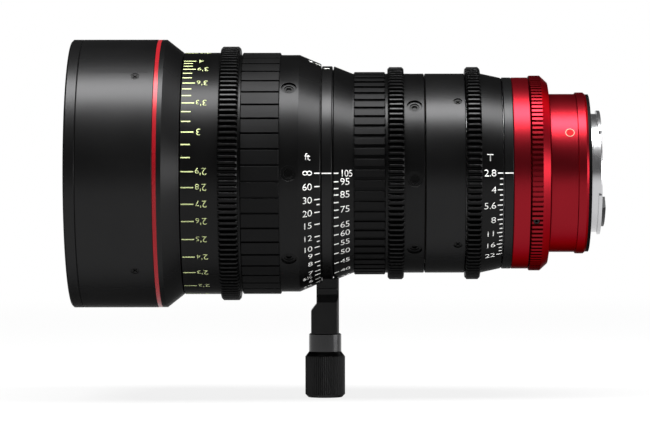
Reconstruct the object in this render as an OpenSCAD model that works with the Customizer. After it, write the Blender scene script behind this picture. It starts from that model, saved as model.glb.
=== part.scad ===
// Zoom lens for film cameras. The front looks along -X, the camera side is at +X and the foot points down.
// The origin lies on the optical axis in the plane of the mount flange.
// Angles round the axis start at the index lines on the -Y side and run down towards the foot.

/* [Front] */
// Outer radius of the front barrel, where a matte box clamps
front_r = 57; // [54:0.5:62]
// Length of the front ring
front_ring_l = 4.75; // [3.5:0.25:8]
// Length of the front barrel
front_barrel_l = 31.9; // [29:0.1:38]
// Wall of the front barrel
front_wall = 2.5; // [2:0.1:3]
// Width of the front ring round the filter thread
filter_lip = 5; // [4.6:0.1:5.4]
// Length of the red accent ring
accent_l = 1.6; // [1.2:0.1:3]
// How far the accent ring lies below the barrel
accent_step = 0.05; // [0.05:0.05:0.3]
// Length of the plain band behind the accent ring
collar_band_l = 2; // [1:0.1:4]
// Length of the cone that falls to the focus ring
collar_cone_l = 7.1; // [5:0.1:10]
// Radius of a screw head in the front barrel
front_screw_r = 1.6; // [1.4:0.05:2.2]
// Distance from the accent ring to the front barrel's screws
front_screw_back = 7.9; // [4:0.1:9]

/* [Focus ring] */
// Radius of the focus barrel in front of its gear
focus_r = 51.4; // [51:0.1:53]
// Length of the scale barrel in front of the gear
focus_scale_l = 15.7; // [13:0.1:20]
// Length of the focus gear
focus_gear_l = 8.1; // [6:0.1:12]
// Teeth of the focus gear
focus_teeth = 133; // [131:1:137]
// Gap between the focus gear and its grip
focus_gap_l = 1; // [0.5:0.1:2]
// Length of the rubber focus grip
focus_grip_l = 16.1; // [12:0.1:22]
// Outer radius of the rubber focus grip
focus_grip_r = 51.35; // [51.1:0.05:51.8]
// Blocks round the focus grip
focus_blocks = 48; // [36:1:60]
// Radius of the screw section behind the grip
focus_hole_r = 50.4; // [50.1:0.1:50.8]
// Length of the screw section behind the grip
focus_hole_l = 8; // [7:0.1:10]
// Length of the rear taper that carries the distance scale
focus_taper_l = 9.1; // [7:0.1:12]
// Rear radius of that taper
focus_taper_r = 46.6; // [46.2:0.1:48]
// Turn of the focus ring from its far stop to its near stop, in degrees
focus_turn = 300; // [270:1:310]
// How far the front glass moves forward over that turn
focus_travel = 10; // [8:0.1:11]

/* [Index ring] */
// Radius of the fixed index ring
index_r = 45.6; // [45:0.1:46.4]
// Length of the fixed index ring
index_l = 4.5; // [4.5:0.1:7]

/* [Zoom ring] */
// Front radius of the zoom ring's taper
zoom_front_r = 45.5; // [44.5:0.1:46]
// Length of that taper
zoom_taper_l = 8.1; // [7:0.1:11]
// Radius of the zoom ring behind its taper
zoom_r = 42.4; // [42.2:0.1:43]
// Length of the ribbed rubber zoom grip
zoom_grip_l = 13.1; // [10:0.1:18]
// Outer radius of the zoom grip
zoom_grip_r = 43.1; // [42.9:0.05:43.5]
// Ribs round the zoom grip
zoom_ribs = 60; // [45:1:70]
// Length of the zoom gear
zoom_gear_l = 6.8; // [5:0.1:10]
// Teeth of the zoom gear
zoom_teeth = 111; // [110:1:115]
// Length of the screw section behind the zoom gear
zoom_hole_l = 8.6; // [8:0.1:11]
// Turn of the zoom ring from its long stop to its short stop, in degrees
zoom_turn = 96; // [80:1:104]
// How far the variator moves forward over that turn
variator_travel = 23; // [18:0.1:24]
// How far the compensator moves forward over that turn
compensator_travel = 6; // [4:0.1:7]

/* [Fixed barrel] */
// Radius of the fixed barrel between the zoom and iris rings
fixed_r = 42.4; // [42.2:0.1:43]
// Length of the fixed barrel
fixed_barrel_l = 16.8; // [15:0.1:20]
// Radius of a screw head in the fixed barrel
fixed_screw_r = 1.6; // [1.2:0.05:2]

/* [Iris] */
// Teeth of the iris gear
iris_teeth = 111; // [110:1:115]
// Length of the iris gear
iris_gear_l = 6.2; // [5:0.1:9]
// Length of the iris ring's taper
iris_taper_l = 9; // [7:0.1:10]
// Front radius of that taper
iris_front_r = 42.5; // [42:0.1:43]
// Rear radius of that taper
iris_rear_r = 40.6; // [40.4:0.1:41.4]
// Turn of the iris ring from fully open to its smallest stop, in degrees
iris_turn = 58; // [50:1:62]
// Length of the fixed iris index ring
iris_index_l = 4; // [3:0.1:6]
// Radius of the fixed iris index ring
iris_index_r = 40.7; // [40.4:0.1:41.4]
// Radius of the fully open stop
stop_open_r = 17.2; // [16:0.1:17.6]
// Radius of the smallest stop
stop_small_r = 2.2; // [1.5:0.1:4]

/* [Rear] */
// Length of the red band
band_l = 7.2; // [7:0.1:11]
// Radius of the red band
band_r = 40.7; // [40.4:0.1:41.4]
// Length of the flange focus ring
adjust_l = 8.6; // [8:0.1:11]
// Outer radius of the flange focus ring
adjust_r = 41.5; // [41:0.1:42.5]
// Teeth of its knurl
adjust_teeth = 120; // [100:1:130]
// Turn of the flange focus ring each way, in degrees
adjust_turn = 10; // [6:1:12]
// How far the relay glass moves over that turn, each way
relay_travel = 0.5; // [0.2:0.05:0.8]
// Length of the red rear barrel
rear_barrel_l = 11.4; // [9.5:0.1:14]
// Radius of the red rear barrel
rear_r = 33.65; // [33.5:0.05:34]
// Length of the red rim
rim_l = 4.4; // [4:0.1:7]
// Radius of the red rim
rim_r = 34.3; // [34.1:0.1:35]

/* [Camera mount] */
// Thickness of the flange plate and its seal
flange_l = 1.4; // [1.2:0.1:2]
// Radius of the flange plate
flange_r = 32.3; // [31.5:0.1:32.5]
// Radius of the seal round the flange plate
seal_r = 33.5; // [33:0.1:34]
// Outer radius of the bayonet tube
bayonet_r = 25.2; // [24.9:0.05:25.5]
// Wall of the bayonet tube
bayonet_wall = 2.2; // [1.6:0.1:2.6]
// How far the bayonet tube stands out of the flange
bayonet_l = 4.8; // [4.6:0.1:6]
// Outer radius of the bayonet lugs
lug_r = 26.6; // [26.2:0.05:27]
// Thickness of a lug along the axis
lug_l = 1.4; // [1.2:0.1:1.8]
// Distance from the flange to the near face of the lugs
lug_gap = 3.3; // [2.8:0.05:3.4]
// How far the contact block stands out of the flange
contact_l = 6.5; // [5.5:0.1:8]
// Number of contacts
contact_count = 8; // [6:1:9]

/* [Foot] */
// Length of the foot block along the axis
foot_block_l = 11.7; // [11:0.1:16]
// Width of the foot block across the axis
foot_w = 20; // [16:0.5:28]
// Distance from the axis to the foot of the block
foot_block_z = 68; // [66:0.1:76]
// Radius of the polished collar
collar_r = 6.9; // [5.5:0.05:7.2]
// Height of the polished collar
collar_h = 7.7; // [7:0.1:12]
// Radius of the foot knob
knob_r = 8.46; // [8:0.02:10]
// Height of the foot knob
knob_h = 19.4; // [16:0.1:26]
// Ribs round the foot knob
knob_ribs = 60; // [40:1:70]
// How far the knob screws down
foot_travel = 6; // [3:0.1:6]
// Bore radius of the support screw's thread
foot_thread_r = 2.6; // [2.4:0.05:3]
// Depth of that thread
foot_thread_l = 9; // [7:0.1:10]

/* [Gears and fits] */
// Module of the three drive gears
gear_module = 0.8; // [0.79:0.005:0.81]
// Gap between rings that turn past each other
ring_gap = 0.3; // [0.2:0.02:0.4]
// Radial clearance of a running fit
run_fit = 0.05; // [0.03:0.01:0.08]
// Clearance of a cam follower in its slot, each side
cam_fit = 0.2; // [0.15:0.01:0.3]

/* [Hidden] */

// Overrun of every cut
over = 1;
// Facets of a turned surface, of a small round one, and steps of a cam slot and of a slot's end
round_fn = 120;
small_fn = 32;
cam_steps = 36;
slot_end_steps = 8;

// Small edge breaks
edge = 0.7;
fine_edge = 0.3;
seam_w = 0.3;
seam_d = 0.25;

// Stations along the axis, from the flange to the front
x_seal = -flange_l;
x_rim = x_seal - rim_l;
x_rear = x_rim - rear_barrel_l;
x_adjust = x_rear - adjust_l;
x_band = x_adjust - band_l;
x_iris_index = x_band - iris_index_l;
x_iris_r = x_iris_index - ring_gap;
x_iris_gear = x_iris_r - iris_taper_l;
x_iris_f = x_iris_gear - iris_gear_l;
x_fixed_r = x_iris_f - ring_gap;
x_fixed_f = x_fixed_r - fixed_barrel_l;
x_zoom_r = x_fixed_f - ring_gap;
x_zoom_hole = x_zoom_r - zoom_hole_l;
x_zoom_gear = x_zoom_hole - zoom_gear_l;
zoom_gap_l = 0.5;
zoom_gear_gap = 1.1;
index_gap = 0.5;
x_zoom_grip_r = x_zoom_gear - zoom_gear_gap;
x_zoom_grip = x_zoom_grip_r - zoom_grip_l;
x_zoom_taper = x_zoom_grip - zoom_gap_l;
x_zoom_f = x_zoom_taper - zoom_taper_l;
x_index_r = x_zoom_f - index_gap;
x_index_f = x_index_r - index_l;
x_focus_r = x_index_f - ring_gap;
x_focus_taper = x_focus_r - focus_taper_l;
x_focus_hole = x_focus_taper - focus_hole_l;
x_focus_grip = x_focus_hole - focus_grip_l;
x_focus_gear_r = x_focus_grip - focus_gap_l;
x_focus_gear = x_focus_gear_r - focus_gear_l;
x_focus_f = x_focus_gear - focus_scale_l;
x_collar_r = x_focus_f - ring_gap;
x_collar = x_collar_r - collar_cone_l;
x_collar_f = x_collar - collar_band_l;
x_accent = x_collar_f - accent_l;
x_barrel_f = x_accent - front_barrel_l;
x_front = x_barrel_f - front_ring_l;

// Inner tubes of the focus half
sleeve_r = 44.5;
sleeve_wall = 2;
sleeve_seat_l = 2;
focus_wall = 3.8;
focus_bore_r = focus_r - focus_wall;
focus_pad_t = 1.8;
focus_seat_r = focus_grip_r - focus_pad_t;
front_bore_r = front_r - front_wall;
filter_r = front_r - filter_lip;
spigot_wall = 2.9;
spigot_l = accent_l + front_screw_back + 2 * front_screw_r;
ring_spigot_l = 4;
collar_flange_l = 5;
collar_w = 4.4;
collar_step = 0.05;

// Inner tubes of the zoom half
zoom_sleeve_r = 36;
zoom_sleeve_wall = 2;
zoom_drum_r = 38.9;
zoom_pad_t = 1.9;
zoom_seat_r = zoom_grip_r - zoom_pad_t;
fixed_wall = 3;
house_seat_l = 2.5;

// Cam followers of the zoom and focus cells
pin_r = 1.5;
focus_pin_r = 1;
pin_short = 0.3;
cam_edge = 3;
follower_count = 3;

// Front group
cell_r = sleeve_r - sleeve_wall - run_fit;
cell_wall = 2.4;
head_r = front_bore_r - spigot_wall - edge;
head_l = 27;
head_gap = 2.2;
head_taper_l = 3;
head_wall = 5.9;
front_glass_r = head_r - head_wall;
front_glass_l = 6;
front_glass_seat = 7;
front_glass_out_r = 150;
front_glass_in_r = 300;
retainer_l = 4;
retainer_w = 1.9;
retainer_edge = 1;
second_glass_l = 10;
second_glass_in_r = 180;
second_glass_out_r = 300;
ledge_w = 1.6;
glass_rim = 2.2;

// Zoom group
zoom_cell_r = zoom_sleeve_r - zoom_sleeve_wall - run_fit;
zoom_cell_wall = 3;
variator_glass_l = 8.5;
variator_glass_out_r = 220;
variator_glass_in_r = 110;
compensator_glass_l = 4;
compensator_glass_out_r = 120;
compensator_glass_in_r = 200;
variator_pin_back = 10.6;
variator_pin_x = x_zoom_r - variator_pin_back;
variator_front = 13;
variator_rear = 3;
compensator_pin_back = 10.2;
compensator_pin_x = x_fixed_r - compensator_pin_back;
compensator_front = 5;
compensator_rear = 5;
zoom_drum_end = 5.2;

// Iris
iris_wall = 4.5;
iris_ring_t = 4.9;
iris_house_r = fixed_r - iris_ring_t;
iris_pack_r = iris_house_r - iris_wall;
plate_l = 1.5;
plate_back = 3.3;
blade_count = 11;
blade_l = 0.2;
blade_step = 0.36;
blade_w = 7.8;
blade_arc = 105;
pivot_r = 27.5;
post_r = 0.8;
drive_arm = 7.6;
drive_angle = 85;
drive_r = 0.55;
drive_fit = 0.12;
tab_r = 2;
arm_r = 1.3;
actuator_l = 1.6;
actuator_gap = 0.45;
key_half_angle = 5;
key_angle = 210;
key_depth = 1.4;
blade_pitch = 360 / blade_count;
blade_swing = 2 * asin((stop_open_r - stop_small_r) / (2 * pivot_r));
x_plate = x_iris_f + plate_back;
x_blades = x_plate + blade_step;
x_actuator = x_blades + blade_count * blade_step + actuator_gap;
x_relay_f = x_actuator + actuator_l + ring_gap;

// Rear
neck_r = 32.8;
neck_wall = 2.3;
neck_l = 4.5;
house_spigot_l = 3;
adjust_cone_r = 38.6;
adjust_rear_r = 36.8;
knurl_l = 4.7;
knurl_depth = 1.1;
knurl_share = 0.5;
lock_r = 1.3;
lock_angle = 29.8;
lock_back = 2.3;
relay_pin_back = 4.6;
groove_depth = 2;
relay_r = 24.55;
relay_wall = 2.4;
relay_tube_wall = 2;
relay_flange_l = 2;
relay_cell_f = 2.5;
relay_cell_r = 3.5;
relay_pin_r = 1.2;
relay_glass_l = 5;
relay_glass_out_r = 48;
relay_glass_in_r = 120;
rear_web_l = 3;

// Camera mount
rim_bore_r = 26.9;
rim_edge = 0.9;
seal_back = 0.1;
lug_arc = 57;
lug_start = 21;
tube_edge = 0.6;
lug_count = 3;
mount_screw_r = 1.9;
mount_screw_circle_r = 29.2;
mount_screw_count = 4;
block_in_r = 15.6;
block_arc = 100;
block_step = 0.2;
baffle_l = 1.6;
baffle_r = 18.2;
contact_r = 0.9;
contact_out = 0.15;
contact_pitch = 8;
contact_circle_r = 19.4;

// Foot
foot_rear = 2.5;
foot_neck_l = 9.4;
foot_top_gap = 0.4;
foot_top_z = 40;
foot_ledge_z = 48.8;
foot_ledge_d = 0.4;
rail_h = 0.6;
recess_h = 2;
recess_d = 0.9;
fillet_h = 3.3;
foot_step_h = 3;
foot_corner = 0.8;
foot_shoulder_z = 58.3;
stem_r = 4.2;
stem_l = 7;
knob_cone_h = 2.5;
knob_edge = 1.3;
collar_edge = 0.5;
knob_rib_d = 0.35;
knob_seat = 0.1;

// Shares of a tooth's pitch taken by half its tip and half its root
gear_tip_share = 0.15;
gear_root_share = 0.36;
gear_edge = 0.8;
// Depth of a tooth below the pitch circle, in modules
gear_root_depth = 1.25;

// Screws
screw_shank_share = 0.55;
screw_cross_share = 0.28;
screw_cross_d_share = 0.4;
screw_cross_l_share = 0.7;
ring_screw_r = 1.95;
ring_screw_l = 3;
ring_screw_deep = 0.4;
ring_sink_r = 3.2;
ring_sink_d = 0.9;
cap_head_share = 0.45;
cap_socket_share = 0.35;
cap_hex_share = 0.68;
screw_rim = 0.25;
ring_screw_count = 8;
zoom_screw_angle = 3.5;
side_screw_count = 4;
zoom_sink_back = 4.3;
zoom_sink_x = x_zoom_r - zoom_sink_back;
focus_sink_inset = 3.9;
focus_sink_x = x_focus_hole + focus_sink_inset;
focus_screw_top = focus_hole_r - ring_sink_d - ring_screw_deep;
zoom_screw_top = zoom_r - ring_sink_d - ring_screw_deep;

// Places worked out from the sizes above
focus_pin_inset = 12;
focus_pin_x = x_focus_taper - focus_pin_inset;
drum_inset = 1.2;
focus_drum_f = x_focus_f + drum_inset;
focus_drum_r = x_focus_taper - fine_edge;
block_groove_w = 0.9;
block_groove_d = 0.9;
x_head_r = x_collar_r - collar_flange_l - head_gap;
x_head_f = x_head_r - head_l;
x_glass_f = x_head_f + front_glass_seat;
x_glass_r = x_glass_f + front_glass_l;
x_cell_r = focus_pin_x + 2 * cam_edge;
second_glass_r = cell_r - cell_wall - run_fit;
x_second_f = x_head_r;
zoom_drum_f = x_zoom_f + drum_inset;
zoom_drum_back = x_fixed_r - zoom_drum_end;
rib_groove_w = 1.7;
rib_groove_d = 0.8;
fixed_bore_r = fixed_r - fixed_wall;
fixed_screw_back = 3.3;
fixed_screw_deep = 0.5;
fixed_screw_top = fixed_r - fixed_screw_deep;
fixed_screw_x = x_fixed_r - fixed_screw_back;
x_house_f = x_fixed_r - zoom_drum_end + fine_edge;
x_house_seat = x_house_f + house_seat_l;
plate_lip = 1.5;
key_margin = 2;
key_half = iris_pack_r * sin(key_half_angle);
adjust_run = ring_gap / 2;
x_knurl_f = x_adjust + ring_gap;
x_knurl_r = x_knurl_f + knurl_l;
relay_angle = 180;
relay_pin_x = x_adjust + relay_pin_back;
lock_x = x_adjust + lock_back;
x_relay_cell_f = x_relay_f + relay_cell_f;
x_relay_cell_r = x_rim - relay_cell_r;
relay_seat_r = relay_r - relay_wall;
screw_core_r = 2.8;
x_foot_r = x_index_r + foot_rear;
x_foot_f = x_foot_r - foot_neck_l;
x_block_f = x_foot_r - foot_block_l;
x_knob = x_foot_r - foot_block_l / 2;

function gear_tip(teeth) = gear_module * (teeth + 2) / 2;
function gear_root(teeth) = gear_module * (teeth / 2 - gear_root_depth);
function polar(r, a) = [r * cos(a), r * sin(a)];
// Depth of a spherical surface at a distance from the axis; a curve of zero is flat
function sag(curve, r) = curve == 0 ? 0 : curve - sign(curve) * sqrt(curve * curve - r * r);

// A body turned about the lens axis from [radius, x] points
module turned(points) rotate([0, 90, 0]) rotate_extrude($fn = round_fn) polygon(points);

// A plain tube between two stations
module tube(r_out, r_in, x0, x1) turned([[r_in, x0], [r_out, x0], [r_out, x1], [r_in, x1]]);

// Places its children on the lens surface, with +Z outwards
module at_side(angle, x) rotate([angle, 0, 0]) translate([x, 0, 0]) rotate([90, 0, 0]) children();

// Copies its children round the lens axis
module around(count, start = 0) for (i = [0:count - 1]) rotate([start + i * 360 / count, 0, 0]) children();

// Lays an outline in the plane across the axis and gives it a length along X
module across(x0, l) translate([x0, 0, 0]) rotate([0, 90, 0]) linear_extrude(l) children();

// Outline of a spur gear, four points to a tooth
module gear_outline(teeth) {
    tip = gear_tip(teeth);
    root = gear_root(teeth);
    pitch = 360 / teeth;
    sides = [[root, -gear_root_share], [tip, -gear_tip_share], [tip, gear_tip_share],
        [root, gear_root_share]];
    polygon([for (i = [0:teeth - 1]) for (s = sides) polar(s[0], (i + s[1]) * pitch)]);
}

// A gear ring with broken edges, open inside
module gear_ring(teeth, bore_r, x0, l) {
    tip = gear_tip(teeth);
    intersection() {
        across(x0, l) gear_outline(teeth);
        turned([[bore_r, x0], [tip - gear_edge, x0], [tip, x0 + gear_edge], [tip, x0 + l - gear_edge],
            [tip - gear_edge, x0 + l], [bore_r, x0 + l]]);
    }
}

// Sweeps an outline round the axis, from a start angle through a sweep
module sector(start, sweep) rotate([start - 90, 0, 0]) rotate([0, 90, 0])
    rotate_extrude(angle = sweep, $fn = round_fn) children();

// A helical slot cutter, one rectangle swept round the axis while it moves along X
module cam_cut(r_in, r_out, half_w, x0, travel, angle0, turn) {
    half = half_w / cos(atan(travel * 180 / (turn * PI * r_in)));
    lead = asin(half_w / r_in);
    full = turn + 2 * lead;
    points = [for (i = [0:cam_steps]) let (a = angle0 - lead + full * i / cam_steps,
        x = x0 + travel * min(max((a - angle0) / turn, 0), 1))
        for (c = [[r_in, -1], [r_out, -1], [r_out, 1], [r_in, 1]])
            [x + c[1] * half, -c[0] * cos(a), -c[0] * sin(a)]];
    rings = [for (i = [0:cam_steps - 1]) for (j = [0:3]) [4 * i + j, 4 * i + (j + 1) % 4,
        4 * (i + 1) + (j + 1) % 4, 4 * (i + 1) + j]];
    last = 4 * cam_steps;
    polyhedron(points, concat([for (f = rings) [f[0], f[1], f[2]]], [for (f = rings) [f[0], f[2], f[3]]],
        [[3, 2, 1, 0], [last, last + 1, last + 2, last + 3]]));
}

// A slot along the axis with round ends, cut inwards from radius r_out to r_in
module straight_cut(r_in, r_out, r, x0, x1, angle) at_side(angle, 0) translate([0, 0, r_in]) {
    translate([x0, -r, 0]) cube([x1 - x0, 2 * r, r_out - r_in]);
    for (x = [x0, x1]) translate([x, 0, 0]) cylinder(r = r, h = r_out - r_in, $fn = small_fn);
}

// Three cam followers of a cell
module followers(r_in, r_out, x, r, start) around(follower_count, start)
    at_side(0, x) translate([0, 0, r_in]) cylinder(r = r, h = r_out - r_in, $fn = small_fn);

// A lens between two spherical surfaces with a flat rim; positive curves bulge outwards
module lens(r, x0, l, curve_f, curve_r) {
    clear = r - glass_rim;
    n = 14;
    front = [for (i = [0:n]) [clear * i / n, x0 - sag(curve_f, clear) + sag(curve_f, clear * i / n)]];
    rear = [for (i = [n:-1:0]) [clear * i / n, x0 + l + sag(curve_r, clear) - sag(curve_r, clear * i / n)]];
    turned(concat(front, [[r, x0], [r, x0 + l]], rear));
}

// A countersunk screw with a cross slot, its head's face at z = 0
module screw(r, l) {
    cross_w = r * screw_cross_share;
    cross_d = r * screw_cross_d_share;
    cross_l = r * screw_cross_l_share;
    difference() {
        union() {
            translate([0, 0, -r + r * screw_shank_share])
                cylinder(r1 = r * screw_shank_share, r2 = r, h = r - r * screw_shank_share, $fn = small_fn);
            translate([0, 0, -l]) cylinder(r = r * screw_shank_share, h = l - r / 4, $fn = small_fn);
        }
        for (a = [0, 90]) rotate(a + 45) translate([-cross_l, -cross_w / 2, -cross_d])
            cube([2 * cross_l, cross_w, cross_d + over]);
    }
}

// The hole that such a screw fills
module screw_hole(r, l) {
    gap = run_fit;
    translate([0, 0, -r + r * screw_shank_share])
        cylinder(r1 = r * screw_shank_share + gap, r2 = r + gap, h = r - r * screw_shank_share,
            $fn = small_fn);
    cylinder(r = r + screw_rim, h = over, $fn = small_fn);
    translate([0, 0, -l - gap]) cylinder(r = r * screw_shank_share + gap, h = l, $fn = small_fn);
}

// A cap screw with a hexagon socket, its head's face at z = 0
module cap_screw(r, l) difference() {
    union() {
        translate([0, 0, -r * cap_head_share]) cylinder(r = r, h = r * cap_head_share, $fn = small_fn);
        translate([0, 0, -l]) cylinder(r = r * screw_shank_share, h = l - r * cap_head_share / 2,
            $fn = small_fn);
    }
    translate([0, 0, -r * cap_socket_share]) cylinder(r = r * cap_hex_share, h = r * cap_socket_share + over,
        $fn = 6);
}

// The hole that such a screw fills
module cap_hole(r, l) {
    gap = run_fit;
    translate([0, 0, -r * cap_head_share - gap]) cylinder(r = r + gap, h = r * cap_head_share + gap + over,
        $fn = small_fn);
    translate([0, 0, -l - gap]) cylinder(r = r * screw_shank_share + gap, h = l, $fn = small_fn);
}

module front_ring() color("#1b1b1d") {
    spigot = front_bore_r - run_fit;
    turned([[filter_r, x_front + edge], [filter_r + edge, x_front], [front_r - edge, x_front],
        [front_r, x_front + edge], [front_r, x_barrel_f - seam_w], [front_r - seam_d, x_barrel_f],
        [spigot, x_barrel_f], [spigot, x_barrel_f + ring_spigot_l], [filter_r, x_barrel_f + ring_spigot_l]]);
}

module side_screws(x) for (i = [0:side_screw_count - 1])
    at_side(45 + i * 360 / side_screw_count, x) children();

module front_barrel() color("#1b1b1d") difference() {
    turned([[front_bore_r, x_barrel_f], [front_r - seam_d, x_barrel_f], [front_r, x_barrel_f + seam_w],
        [front_r, x_accent - seam_w], [front_r - seam_d, x_accent], [front_bore_r, x_accent]]);
    side_screws(x_accent - front_screw_back) translate([0, 0, front_r - seam_d])
        screw_hole(front_screw_r, front_wall * 2);
}

module front_barrel_screws() color("#3a3a3c") side_screws(x_accent - front_screw_back)
    translate([0, 0, front_r - seam_d]) screw(front_screw_r, front_wall + spigot_wall / 2);

module accent_ring() color("#b3182c") {
    r = front_r - accent_step;
    tube(r, front_bore_r, x_accent, x_collar_f);
}

module front_collar() color("#1b1b1d") {
    band = front_r - collar_step;
    spigot = front_bore_r - run_fit;
    spigot_in = front_bore_r - spigot_wall;
    x_in = x_collar_r - collar_flange_l;
    bore = sleeve_r + run_fit;
    difference() {
        turned([[bore, x_collar_r], [focus_r - collar_step, x_collar_r], [band, x_collar], [band, x_collar_f],
            [spigot, x_collar_f], [spigot, x_collar_f - spigot_l], [spigot_in, x_collar_f - spigot_l],
            [spigot_in, x_collar], [focus_r - collar_w, x_in], [bore, x_in]]);
        side_screws(x_accent - front_screw_back) translate([0, 0, front_r - seam_d])
            screw_hole(front_screw_r, front_wall + spigot_wall / 2);
    }
}

module focus_sleeve() color("#8d8f93") {
    in_r = sleeve_r - sleeve_wall;
    x_f = x_collar_r - collar_flange_l;
    slot = focus_pin_r + cam_fit;
    difference() {
        tube(sleeve_r, in_r, x_f, x_index_f + sleeve_seat_l);
        for (i = [0:follower_count - 1])
            straight_cut(in_r - over, sleeve_r + over, slot, focus_pin_x - focus_travel, focus_pin_x,
                i * 360 / follower_count);
    }
}

module index_ring() color("#1b1b1d") {
    bore = zoom_sleeve_r + run_fit;
    seat = sleeve_r + run_fit;
    turned([[bore, x_index_f + sleeve_seat_l], [seat, x_index_f + sleeve_seat_l], [seat, x_index_f],
        [index_r - fine_edge, x_index_f], [index_r, x_index_f + fine_edge], [index_r, x_index_r - fine_edge],
        [index_r - fine_edge, x_index_r], [bore, x_index_r]]);
}

module focus_barrel() color("#19191b") {
    core = gear_root(focus_teeth) - fine_edge;
    run = sleeve_r + run_fit;
    difference() {
        union() {
            turned([[focus_bore_r, x_focus_f], [focus_r - fine_edge, x_focus_f],
                [focus_r, x_focus_f + fine_edge],
                [focus_r, x_focus_gear], [core, x_focus_gear], [core, x_focus_gear_r],
                [focus_hole_r, x_focus_gear_r],
                [focus_hole_r, x_focus_grip], [focus_seat_r, x_focus_grip], [focus_seat_r, x_focus_hole],
                [focus_hole_r, x_focus_hole], [focus_hole_r, x_focus_taper],
                [focus_taper_r, x_focus_r - fine_edge],
                [focus_taper_r - fine_edge, x_focus_r], [run, x_focus_r], [run, x_focus_taper],
                [focus_bore_r, x_focus_taper]]);
            gear_ring(focus_teeth, core - fine_edge, x_focus_gear, focus_gear_l);
        }
        for (i = [0:ring_screw_count - 1]) at_side(i * 360 / ring_screw_count, focus_sink_x) {
            translate([0, 0, focus_hole_r - ring_sink_d]) cylinder(r = ring_sink_r, h = 2 * over,
                $fn = small_fn);
            translate([0, 0, focus_screw_top]) cap_hole(ring_screw_r, ring_screw_l * 2);
        }
    }
}

// A rubber ring cut by grooves along the axis
module grip_ring(r_out, r_in, x0, l, count, groove_w, groove_d) {
    intersection() {
        across(x0, l) difference() {
            circle(r = r_out, $fn = round_fn);
            circle(r = r_in, $fn = round_fn);
            for (i = [0:count - 1]) rotate((i + 0.5) * 360 / count)
                translate([r_out - groove_d, -groove_w / 2]) square([groove_d + over, groove_w]);
        }
        turned([[r_in - over, x0], [r_out - fine_edge, x0], [r_out, x0 + fine_edge],
            [r_out, x0 + l - fine_edge],
            [r_out - fine_edge, x0 + l], [r_in - over, x0 + l]]);
    }
}

module focus_grip() color("#232325")
    grip_ring(focus_grip_r, focus_seat_r + run_fit, x_focus_grip, focus_grip_l, focus_blocks, block_groove_w,
        block_groove_d);

module focus_cam_drum() color("#b9a25a") difference() {
    tube(focus_bore_r - run_fit, sleeve_r + run_fit, focus_drum_f, focus_drum_r);
    for (i = [0:follower_count - 1])
        cam_cut(sleeve_r - over, focus_bore_r + over, focus_pin_r + cam_fit, focus_pin_x, -focus_travel,
            i * 360 / follower_count, focus_turn);
    for (i = [0:ring_screw_count - 1]) at_side(i * 360 / ring_screw_count, focus_sink_x)
        translate([0, 0, focus_screw_top]) cap_hole(ring_screw_r, ring_screw_l * 2);
}

module focus_screws() color("#2c2c2e") for (i = [0:ring_screw_count - 1])
    at_side(i * 360 / ring_screw_count, focus_sink_x) translate([0, 0, focus_screw_top])
        cap_screw(ring_screw_r, focus_screw_top - focus_bore_r + ring_screw_l / 2);

module focus_cell() color("#141416") {
    glass_seat = front_glass_r + run_fit;
    tube_in = cell_r - cell_wall;
    ledge = tube_in - ledge_w;
    union() {
        turned([[glass_seat, x_head_f], [head_r, x_head_f], [head_r, x_head_r - head_taper_l],
            [cell_r, x_head_r],
            [cell_r, x_cell_r], [tube_in, x_cell_r], [tube_in, x_second_f], [ledge, x_second_f],
            [ledge, x_second_f - cell_wall], [front_glass_r - ledge_w, x_glass_r], [glass_seat, x_glass_r]]);
        followers(cell_r - cell_wall / 2, focus_bore_r - pin_short, focus_pin_x, focus_pin_r, 0);
    }
}

module front_glass() color("#26304a", 0.6)
    lens(front_glass_r, x_glass_f, front_glass_l, front_glass_out_r, front_glass_in_r);

module second_glass() color("#26304a", 0.6)
    lens(second_glass_r, x_second_f, second_glass_l, -second_glass_out_r, -second_glass_in_r);

module front_retainer() color("#101012")
    turned([[front_glass_r - retainer_w, x_glass_f], [front_glass_r, x_glass_f],
        [front_glass_r, x_glass_f - retainer_l],
        [front_glass_r - retainer_w + retainer_edge, x_glass_f - retainer_l],
        [front_glass_r - retainer_w, x_glass_f - retainer_l + retainer_edge]]);

module zoom_barrel() color("#19191b") {
    bore = zoom_drum_r + run_fit;
    core = gear_root(zoom_teeth) - fine_edge;
    difference() {
        union() {
            turned([[bore, x_zoom_f], [zoom_front_r - fine_edge, x_zoom_f],
                [zoom_front_r, x_zoom_f + fine_edge],
                [zoom_r, x_zoom_taper], [zoom_r, x_zoom_grip], [zoom_seat_r, x_zoom_grip],
                [zoom_seat_r, x_zoom_grip_r],
                [zoom_r, x_zoom_grip_r], [zoom_r, x_zoom_gear], [core, x_zoom_gear], [core, x_zoom_hole],
                [zoom_r, x_zoom_hole], [zoom_r, x_zoom_r - fine_edge], [zoom_r - fine_edge, x_zoom_r],
                [bore, x_zoom_r]]);
            gear_ring(zoom_teeth, core - fine_edge, x_zoom_gear, zoom_gear_l);
        }
        for (i = [0:ring_screw_count - 1]) at_side(zoom_screw_angle + i * 360 / ring_screw_count,
            zoom_sink_x) {
            translate([0, 0, zoom_r - ring_sink_d]) cylinder(r = ring_sink_r, h = 2 * over, $fn = small_fn);
            translate([0, 0, zoom_screw_top]) cap_hole(ring_screw_r, ring_screw_l * 2);
        }
    }
}

module zoom_grip() color("#232325")
    grip_ring(zoom_grip_r, zoom_seat_r + run_fit, x_zoom_grip, zoom_grip_l, zoom_ribs, rib_groove_w,
        rib_groove_d);

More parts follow.
